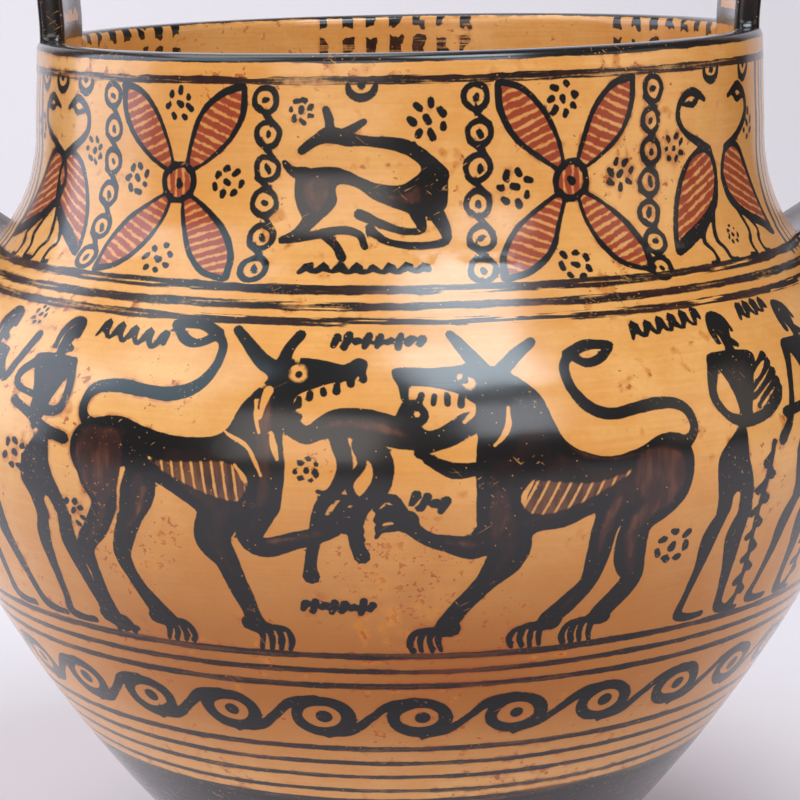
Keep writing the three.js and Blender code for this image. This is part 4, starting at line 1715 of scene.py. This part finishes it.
@dataclass(frozen=True)
class PaintedClay:
    """Colours and gloss of the baked clay and of its slip, as linear red, green and blue."""

    buff: tuple = (0.80, 0.410, 0.130, 1)
    orange: tuple = (0.67, 0.272, 0.052, 1)
    drip: tuple = (0.56, 0.185, 0.022, 1)
    rust: tuple = (0.37, 0.078, 0.014, 1)
    # Brown that stands for painted shade on the lower front.
    shade_brown: tuple = (0.36, 0.108, 0.015, 1)
    black: tuple = (0.0072, 0.0052, 0.0046, 1)
    brown: tuple = (0.046, 0.0135, 0.0075, 1)
    amber: tuple = (0.17, 0.060, 0.022, 1)
    red: tuple = (0.29, 0.034, 0.012, 1)
    clay_roughness: float = 0.40
    slip_roughness: float = 0.31
    gloss: float = 1.0
    sheen_level: float = 0.12
    gloss_roughness: float = 0.185

    # Heights of painted edges, in millimetres
    LIP = 172.3
    INNER_LIP = 173.3
    DARK_FOOT = 40.4
    UNDERSIDE = 1.4
    STRAP_FOOT = 176.0

    # Bars under the lip inside: degrees round the pot, then millimetres
    INNER_GROUP = 60.0
    INNER_PITCH = 4.6
    INNER_BARS = 7
    INNER_BAR_HALF = 1.15
    INNER_RADIUS = 64.4
    INNER_DEPTH = 160.5
    INNER_GAP = 169.9
    INNER_GAP_HALF = 1.1

    # Patterns of lines, in millimetres
    LADDER_PITCH = 4.5
    LADDER_BAR = 2.7
    STRAP_MARGIN = 10.6
    RIB_PITCH = 1.75
    HATCH_PITCH = 1.55

    # Painted shade on the lower front, where the clay is browned to stand for shade: heights in millimetres,
    # then turns in radians
    SHADE_TOP = 112.0
    SHADE_FADE = 42.0
    SHADE_FOOT = 38.0
    SHADE_RISE = 26.0
    SHADE_TURN = 1.25
    SHADE_TURN_FADE = 0.85

    # Neck lines, which are brushed thinner than the lines below
    THIN_LINES_FROM = 100.0
    THIN_LINES_FADE = 20.0

    def band_depth(self, point: ClayPoint) -> Value:
        """Return how deep a point lies in the painted lines, in millimetres."""
        depth: Number = -9.0
        for number, band in enumerate(BANDS):
            lean = (number % 3 - 1) * 0.4
            away = abs(point.level + point.cloud * (0.8 + lean) - band.height)
            wear = point.streak + point.cloud * lean
            rubbed = wear.rise(0.16 - 0.12 * band.wear, 0.42 - 0.16 * band.wear)
            half = band.width * 0.5 + point.broad * (0.35 * band.width)
            depth = (half - away - rubbed * (band.width * band.wear)).most(depth)
        return depth

    def inner_depth(self, point: ClayPoint) -> Value:
        """Return how deep a point lies in the bars under the lip inside."""
        sway = point.middle
        degrees = point.turn * math.degrees(1) + sway * 2.2 + 180.0
        group = degrees / self.INNER_GROUP
        off = (group - point.shader.math("ROUND", group)) * self.INNER_GROUP
        bar = (off / self.INNER_PITCH).off_whole() * self.INNER_PITCH
        to_mm = math.radians(1) * self.INNER_RADIUS
        inside_group = self.INNER_BARS / 2 * self.INNER_PITCH - abs(off)
        depth = ((self.INNER_BAR_HALF + sway * 1.6) - bar * to_mm).least(inside_group * to_mm)
        under_lip = point.level + sway * 5.0 - self.INNER_DEPTH
        off_gap = abs(point.level - self.INNER_GAP) + sway * 4.0 - self.INNER_GAP_HALF
        return depth.least(under_lip).least(off_gap)

    def strap_depth(self, point: ClayPoint) -> Value:
        """Return how deep a point lies in a handle's black edges and ladder bars."""
        sway = point.middle
        along = point.shader.attribute("along")
        across = abs(point.shader.attribute("across"))
        edge = across + sway * 1.6 - self.STRAP_MARGIN
        bars = (along / self.LADDER_PITCH + sway * 0.35).off_whole() * self.LADDER_PITCH
        ladder = self.LADDER_BAR / 2 + sway * 0.9 - bars
        return edge.most(ladder).most(self.STRAP_FOOT - point.level)

    def stained(self, point: ClayPoint) -> Value:
        """Return how much a point lies in one of the blotched places, from 0 to 1."""
        most: Number = 0.0
        for stain in STAINS:
            beside = abs((point.turn - stain.turn) * (Vase.FLAT / stain.reach))
            away = beside + abs((point.level - stain.level) / stain.reach)
            most = (1.2 - away).most(most)
        return most.rise(0.0, 0.8)

    def painted_shade(self, point: ClayPoint) -> Value:
        """Return how much a point lies in the painted shade on the lower front, from 0 to 1."""
        below = (self.SHADE_TOP - point.level).rise(0.0, self.SHADE_FADE)
        above = (point.level - self.SHADE_FOOT).rise(0.0, self.SHADE_RISE)
        return below * above * (self.SHADE_TURN - abs(point.turn)).rise(0.0, self.SHADE_TURN_FADE)

    def paint_depth(self, point: ClayPoint, strokes: Value, bands: Value) -> Value:
        """Return how deep a point lies in any dark slip, in millimetres.

        Args:
            point: The point that is coloured.
            strokes: Its depth in the brush strokes.
            bands: Its depth in the lines round the pot.
        """
        lip = point.level + point.broad * 0.8 - point.inside * (self.INNER_LIP - self.LIP) - self.LIP
        outside = strokes.most(bands).most(self.DARK_FOOT - point.level + point.cloud * 0.8)
        wall = outside.towards(self.inner_depth(point), point.inside).most(lip)
        underside = (point.level - self.UNDERSIDE) * 3.0
        return wall.towards(self.strap_depth(point), point.strap).least(underside)

    def bare_spots(self, point: ClayPoint, lines: Value, deep: Value) -> Value:
        """Return how much of the slip is gone at a point, from 0 to 1.

        Args:
            point: The point that is coloured.
            lines: Whether it lies on a line round the pot, from 0 to 1.
            deep: How far it lies from the slip's edge, from 0 to 1.
        """
        streak, broad, cloud, fine = point.streak, point.broad, point.cloud, point.fine
        worn = (streak + fine * 0.4).rise(0.34, 0.42) * (1.0 - deep * 0.6)
        brushed = (streak * 1.2 + fine * 0.3 + cloud * 0.7).rise(0.02, 0.24)
        neck = (point.level - self.THIN_LINES_FROM).rise(0.0, self.THIN_LINES_FADE)
        worn = worn.most(brushed * lines * (0.30 + neck * 0.6) * 1.5)
        scratch = (point.scrape + broad * 0.30).rise(0.235, 0.29) * (cloud + broad * 0.2).rise(-0.08, 0.08)
        return (worn * 0.5).most(scratch * 0.62).most(point.pinhole * 0.75)

    def slip_colour(
        self, point: ClayPoint, depth: Value, lines: Value, ribbed: Value
    ) -> bpy.types.NodeSocket:
        """Return the slip's colour, from thin amber over brown to black.

        Args:
            point: The point that is coloured.
            depth: Its depth in the dark slip, in millimetres.
            lines: Whether it lies on a line round the pot, from 0 to 1.
            ribbed: Whether it lies in a ribbed flank, from 0 to 1.
        """
        shader, middle, broad, brush = point.shader, point.middle, point.broad, point.brush
        thin = (shader.attribute("thin") + middle * 1.2 + point.fine * 0.5).rise(-0.2, 0.9).most(ribbed)
        inner = depth.rise(1.0, 2.6) * 0.32
        heavy = (0.95 - inner + broad * 0.8 + brush * 0.4 - lines * (0.42 - point.streak * 1.1)).least(1.0)
        washed = (0.27 + brush * 0.8 + broad * 0.6 - ribbed * 0.14).most(0.0)
        body = heavy.towards(washed, thin)
        dark = shader.mix(body.rise(0.10, 0.85), self.brown, self.black)
        return shader.mix((0.36 - body).rise(0.0, 0.36) * 0.75, dark, self.amber)

    def red_cover(self, point: ClayPoint, hatch: Value) -> Value:
        """Return how much of the clay a red hatching covers, from 0 to 1."""
        fine = point.fine
        lines = (hatch / self.HATCH_PITCH + point.broad * 0.9).off_whole()
        stripe = 0.35 + fine * 0.5 + point.middle * 0.3 - lines
        edge = (point.shader.attribute("red") + fine * 0.5).rise(-0.35, 0.15)
        return edge * (stripe.rise(-0.10, 0.10) * 0.76 + 0.20)

    def clay_colour(
        self, point: ClayPoint, depth: Value, painted_shade: Value, red: Value
    ) -> bpy.types.NodeSocket:
        """Return the bare clay's colour with its blots, drips, red hatching and painted shade on the lower
        front.

        Args:
            point: The point that is coloured.
            depth: Its depth in the dark slip, in millimetres.
            painted_shade: How much it lies in the painted shade on the lower front, from 0 to 1.
            red: How much of it is covered in red, from 0 to 1.
        """
        cloud, broad, middle, fine = point.cloud, point.broad, point.middle, point.fine
        stain = self.stained(point)
        tone = (cloud * 1.5 + broad * 0.9 + point.streak * 0.5 + fine * 0.35 + 0.5).rise(0.0, 1.0)
        blot = (middle * 0.7 + fine * 1.2 + stain * 0.08).rise(0.20, 0.27)
        blot = blot * (cloud + broad * 0.7 + stain * 0.30).rise(-0.05, 0.13)
        drop = (middle * 0.8 + broad * 0.9 + stain * 0.06).rise(0.13, 0.30) * (cloud + 0.10).rise(-0.05, 0.15)
        rubbed = depth.rise(-0.6, -0.1) * (cloud + middle * 0.5).rise(0.04, 0.2)
        layers = (
            (depth.rise(-1.6, 0.0) * 0.25, self.orange),
            # Painted shade: the lower front is browned to stand for shade there.
            (painted_shade * (0.85 + cloud * 0.5), self.shade_brown),
            (drop * 0.85, self.drip),
            (blot * 0.9, self.rust),
            (rubbed * 0.55, self.rust),
            (stain * (broad + middle * 0.4 + 0.10).rise(0.0, 0.3) * 0.45, self.orange),
            (red, self.red),
        )
        clay = point.shader.mix(tone, self.orange, self.buff)
        for share, colour in layers:
            clay = point.shader.mix(share, clay, colour)
        return clay

    def material(self) -> bpy.types.Material:
        """Return the material of the whole pot."""
        shader = Shader("painted_clay")
        point = ClayPoint(shader)
        fine, middle, broad, streak = point.fine, point.middle, point.broad, point.streak
        strokes = shader.attribute("slip")
        bands = self.band_depth(point)
        depth = self.paint_depth(point, strokes, bands)
        deep = depth.rise(0.7, 2.2)
        lines = (bands - strokes).rise(0.0, 0.2) * (1.0 - deep)

        hatch = shader.attribute("hatch")
        ribbed = shader.attribute("ribbed").rise(-0.1, 0.35)
        rib = 0.13 + fine * 0.16 - (hatch / self.RIB_PITCH + broad * 0.22).off_whole()
        gaps = ribbed * rib.rise(-0.05, 0.06)
        edge = (depth + fine * 0.20 + middle * 0.26).rise(-0.07, 0.15)
        dry = (broad + fine * 0.7).rise(0.24, 0.40) * (1.0 - deep * 0.75)
        bare = self.bare_spots(point, lines, deep)
        slip = edge * (1.0 - dry * 0.6) * (1.0 - gaps * 0.9) * (1.0 - bare)

        # Painted shade on the lower front, which also weakens the coat's gloss there.
        painted_shade = self.painted_shade(point)
        clay = self.clay_colour(point, depth, painted_shade, self.red_cover(point, hatch))
        dark = self.slip_colour(point, depth, lines, ribbed)
        relief = strokes.rise(-0.2, 0.2) * 0.03 + streak * 0.10 + fine * 0.04
        bump = shader.node("Bump", None, Height=relief, Strength=0.5, Distance=MM)
        rough = slip * (self.slip_roughness - self.clay_roughness) + self.clay_roughness + streak * 0.16
        shader.dress(
            Base_Color=shader.mix(slip, clay, dark),
            Roughness=rough,
            Specular_IOR_Level=self.sheen_level,
            Coat_Weight=(1.0 - painted_shade * 0.7) * self.gloss,
            Coat_Roughness=self.gloss_roughness,
            Normal=bump.outputs["Normal"],
        )
        return shader.material


@dataclass(frozen=True)
class Softbox:
    """A square studio light.

    Attributes:
        place: Where it hangs, in metres.
        size: Length of its side, in metres.
        power: Its power, in watts.
        colour: Its linear colour.
        aim: What it shines at, in metres, which is the pot's belly if nothing else is said.
    """

    place: tuple[float, float, float]
    size: float
    power: float
    colour: tuple[float, float, float]
    aim: tuple[float, float, float] = (0.0, 0.0, 0.12)


@dataclass(frozen=True)
class Studio:
    """A plain pale table top, soft lights and the camera."""

    floor_colour: tuple = (0.80, 0.74, 0.76, 1)
    sky_colour: tuple = (0.97, 0.97, 1.0, 1)
    sky_power: float = 0.12
    floor_front: float = -3.0
    floor_back: float = 1.3
    floor_width: float = 8.0
    floor_roughness: float = 0.65
    wall_height: float = 3.0
    wall_round: float = 0.6
    lights: tuple[Softbox, ...] = (
        Softbox((0.30, -0.565, 1.25), 0.55, 9.8, (0.78, 0.90, 1.0)),
        Softbox((0.511, -1.003, 0.77), 0.45, 3.0, (0.90, 0.93, 1.0)),
        Softbox((-0.85, -0.35, 1.05), 0.7, 4.0, (0.62, 0.84, 1.0)),
        Softbox((-1.2, 0.25, 0.52), 1.0, 8.6, (0.78, 0.86, 1.0)),
        Softbox((-0.482, -1.325, 0.633), 0.9, 6.0, (1.0, 0.94, 0.90)),
        Softbox((1.2, -0.3, 0.5), 0.7, 1.2, (1.0, 0.88, 0.8)),
        Softbox((-0.42, 0.38, 1.3), 0.9, 6.9, (1.0, 0.98, 0.96), (-0.34, 0.86, 0.0)),
    )
    lens: float = 109.25
    distance: float = 485.6
    elevation: float = 11.133
    roll: float = -0.466
    target: tuple[float, float, float] = (0.62, 0.0, 100.0)

    WALL_SEGMENTS = 24
    CAMERA_START = 0.01

    def floor(self) -> None:
        """Lay the table top, which sweeps up into a backdrop."""
        deselect()
        depth = self.floor_back - self.floor_front
        middle = (self.floor_back + self.floor_front) / 2
        bpy.ops.mesh.primitive_plane_add(size=1, location=(0, 0, 0))
        table = bpy.context.active_object
        table.name = "table_top"
        edit(table)
        bpy.ops.transform.resize(value=(self.floor_width, depth, 1))
        bpy.ops.transform.translate(value=(0, middle, 0))
        self.select_back_edge(table)
        bpy.ops.mesh.extrude_region_move(TRANSFORM_OT_translate={"value": (0, 0, self.wall_height)})
        self.select_back_edge(table)
        bpy.ops.mesh.bevel(offset=self.wall_round, segments=self.WALL_SEGMENTS, affect="EDGES")
        close_edit()
        only(table)
        bpy.ops.object.shade_smooth()
        shader = Shader("table_top")
        shader.dress(Base_Color=self.floor_colour, Roughness=self.floor_roughness)
        table.data.materials.append(shader.material)

    def select_back_edge(self, table: bpy.types.Object) -> None:
        """Select only the edge where the table top ends at the back."""
        bpy.ops.mesh.select_all(action="DESELECT")
        mesh = bmesh.from_edit_mesh(table.data)
        for edge in mesh.edges:
            if all(max(abs(v.co.y - self.floor_back), abs(v.co.z)) < MM for v in edge.verts):
                edge.select_set(True)
        bmesh.update_edit_mesh(table.data)

    def sky(self) -> None:
        """Light everything evenly from around."""
        world = bpy.data.worlds.new("studio")
        world.use_nodes = True
        background = world.node_tree.nodes["Background"]
        background.inputs["Color"].default_value = self.sky_colour
        background.inputs["Strength"].default_value = self.sky_power
        bpy.context.scene.world = world
        bpy.context.scene.view_settings.view_transform = "Standard"

    def lamps(self) -> None:
        """Hang the soft lights."""
        for number, box in enumerate(self.lights):
            data = bpy.data.lights.new(f"softbox_{number}", "AREA")
            data.energy = box.power
            data.size = box.size
            data.color = box.colour
            lamp = bpy.data.objects.new(data.name, data)
            place = Vector(box.place)
            turn = (place - Vector(box.aim)).to_track_quat("Z", "Y").to_matrix().to_4x4()
            lamp.matrix_world = Matrix.Translation(place) @ turn
            bpy.context.scene.collection.objects.link(lamp)

    def camera(self) -> None:
        """Set up the photographer's close view."""
        data = bpy.data.cameras.new("camera")
        data.lens = self.lens
        data.clip_start = self.CAMERA_START
        camera = bpy.data.objects.new("camera", data)
        rise = math.radians(self.elevation)
        away = Vector((0, -math.cos(rise), math.sin(rise))) * self.distance * MM
        turn = away.to_track_quat("Z", "Y").to_matrix().to_4x4()
        roll = Matrix.Rotation(math.radians(self.roll), 4, "Z")
        camera.matrix_world = Matrix.Translation(Vector(self.target) * MM + away) @ turn @ roll
        bpy.context.scene.collection.objects.link(camera)
        bpy.context.scene.camera = camera

    def build(self) -> None:
        """Set up the whole studio."""
        self.floor()
        self.sky()
        self.lamps()
        self.camera()
        LOG.info("studio: %d lights", len(self.lights))


def main() -> None:
    """Build the vase and its studio."""
    logging.basicConfig(level=logging.INFO, format="%(name)s: %(message)s")
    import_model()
    vase = Vase().build()
    vase.data.materials.append(PaintedClay().material())
    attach(vase, BODY)
    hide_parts(NODE)
    Studio().build()


if __name__ == "__main__":
    main()
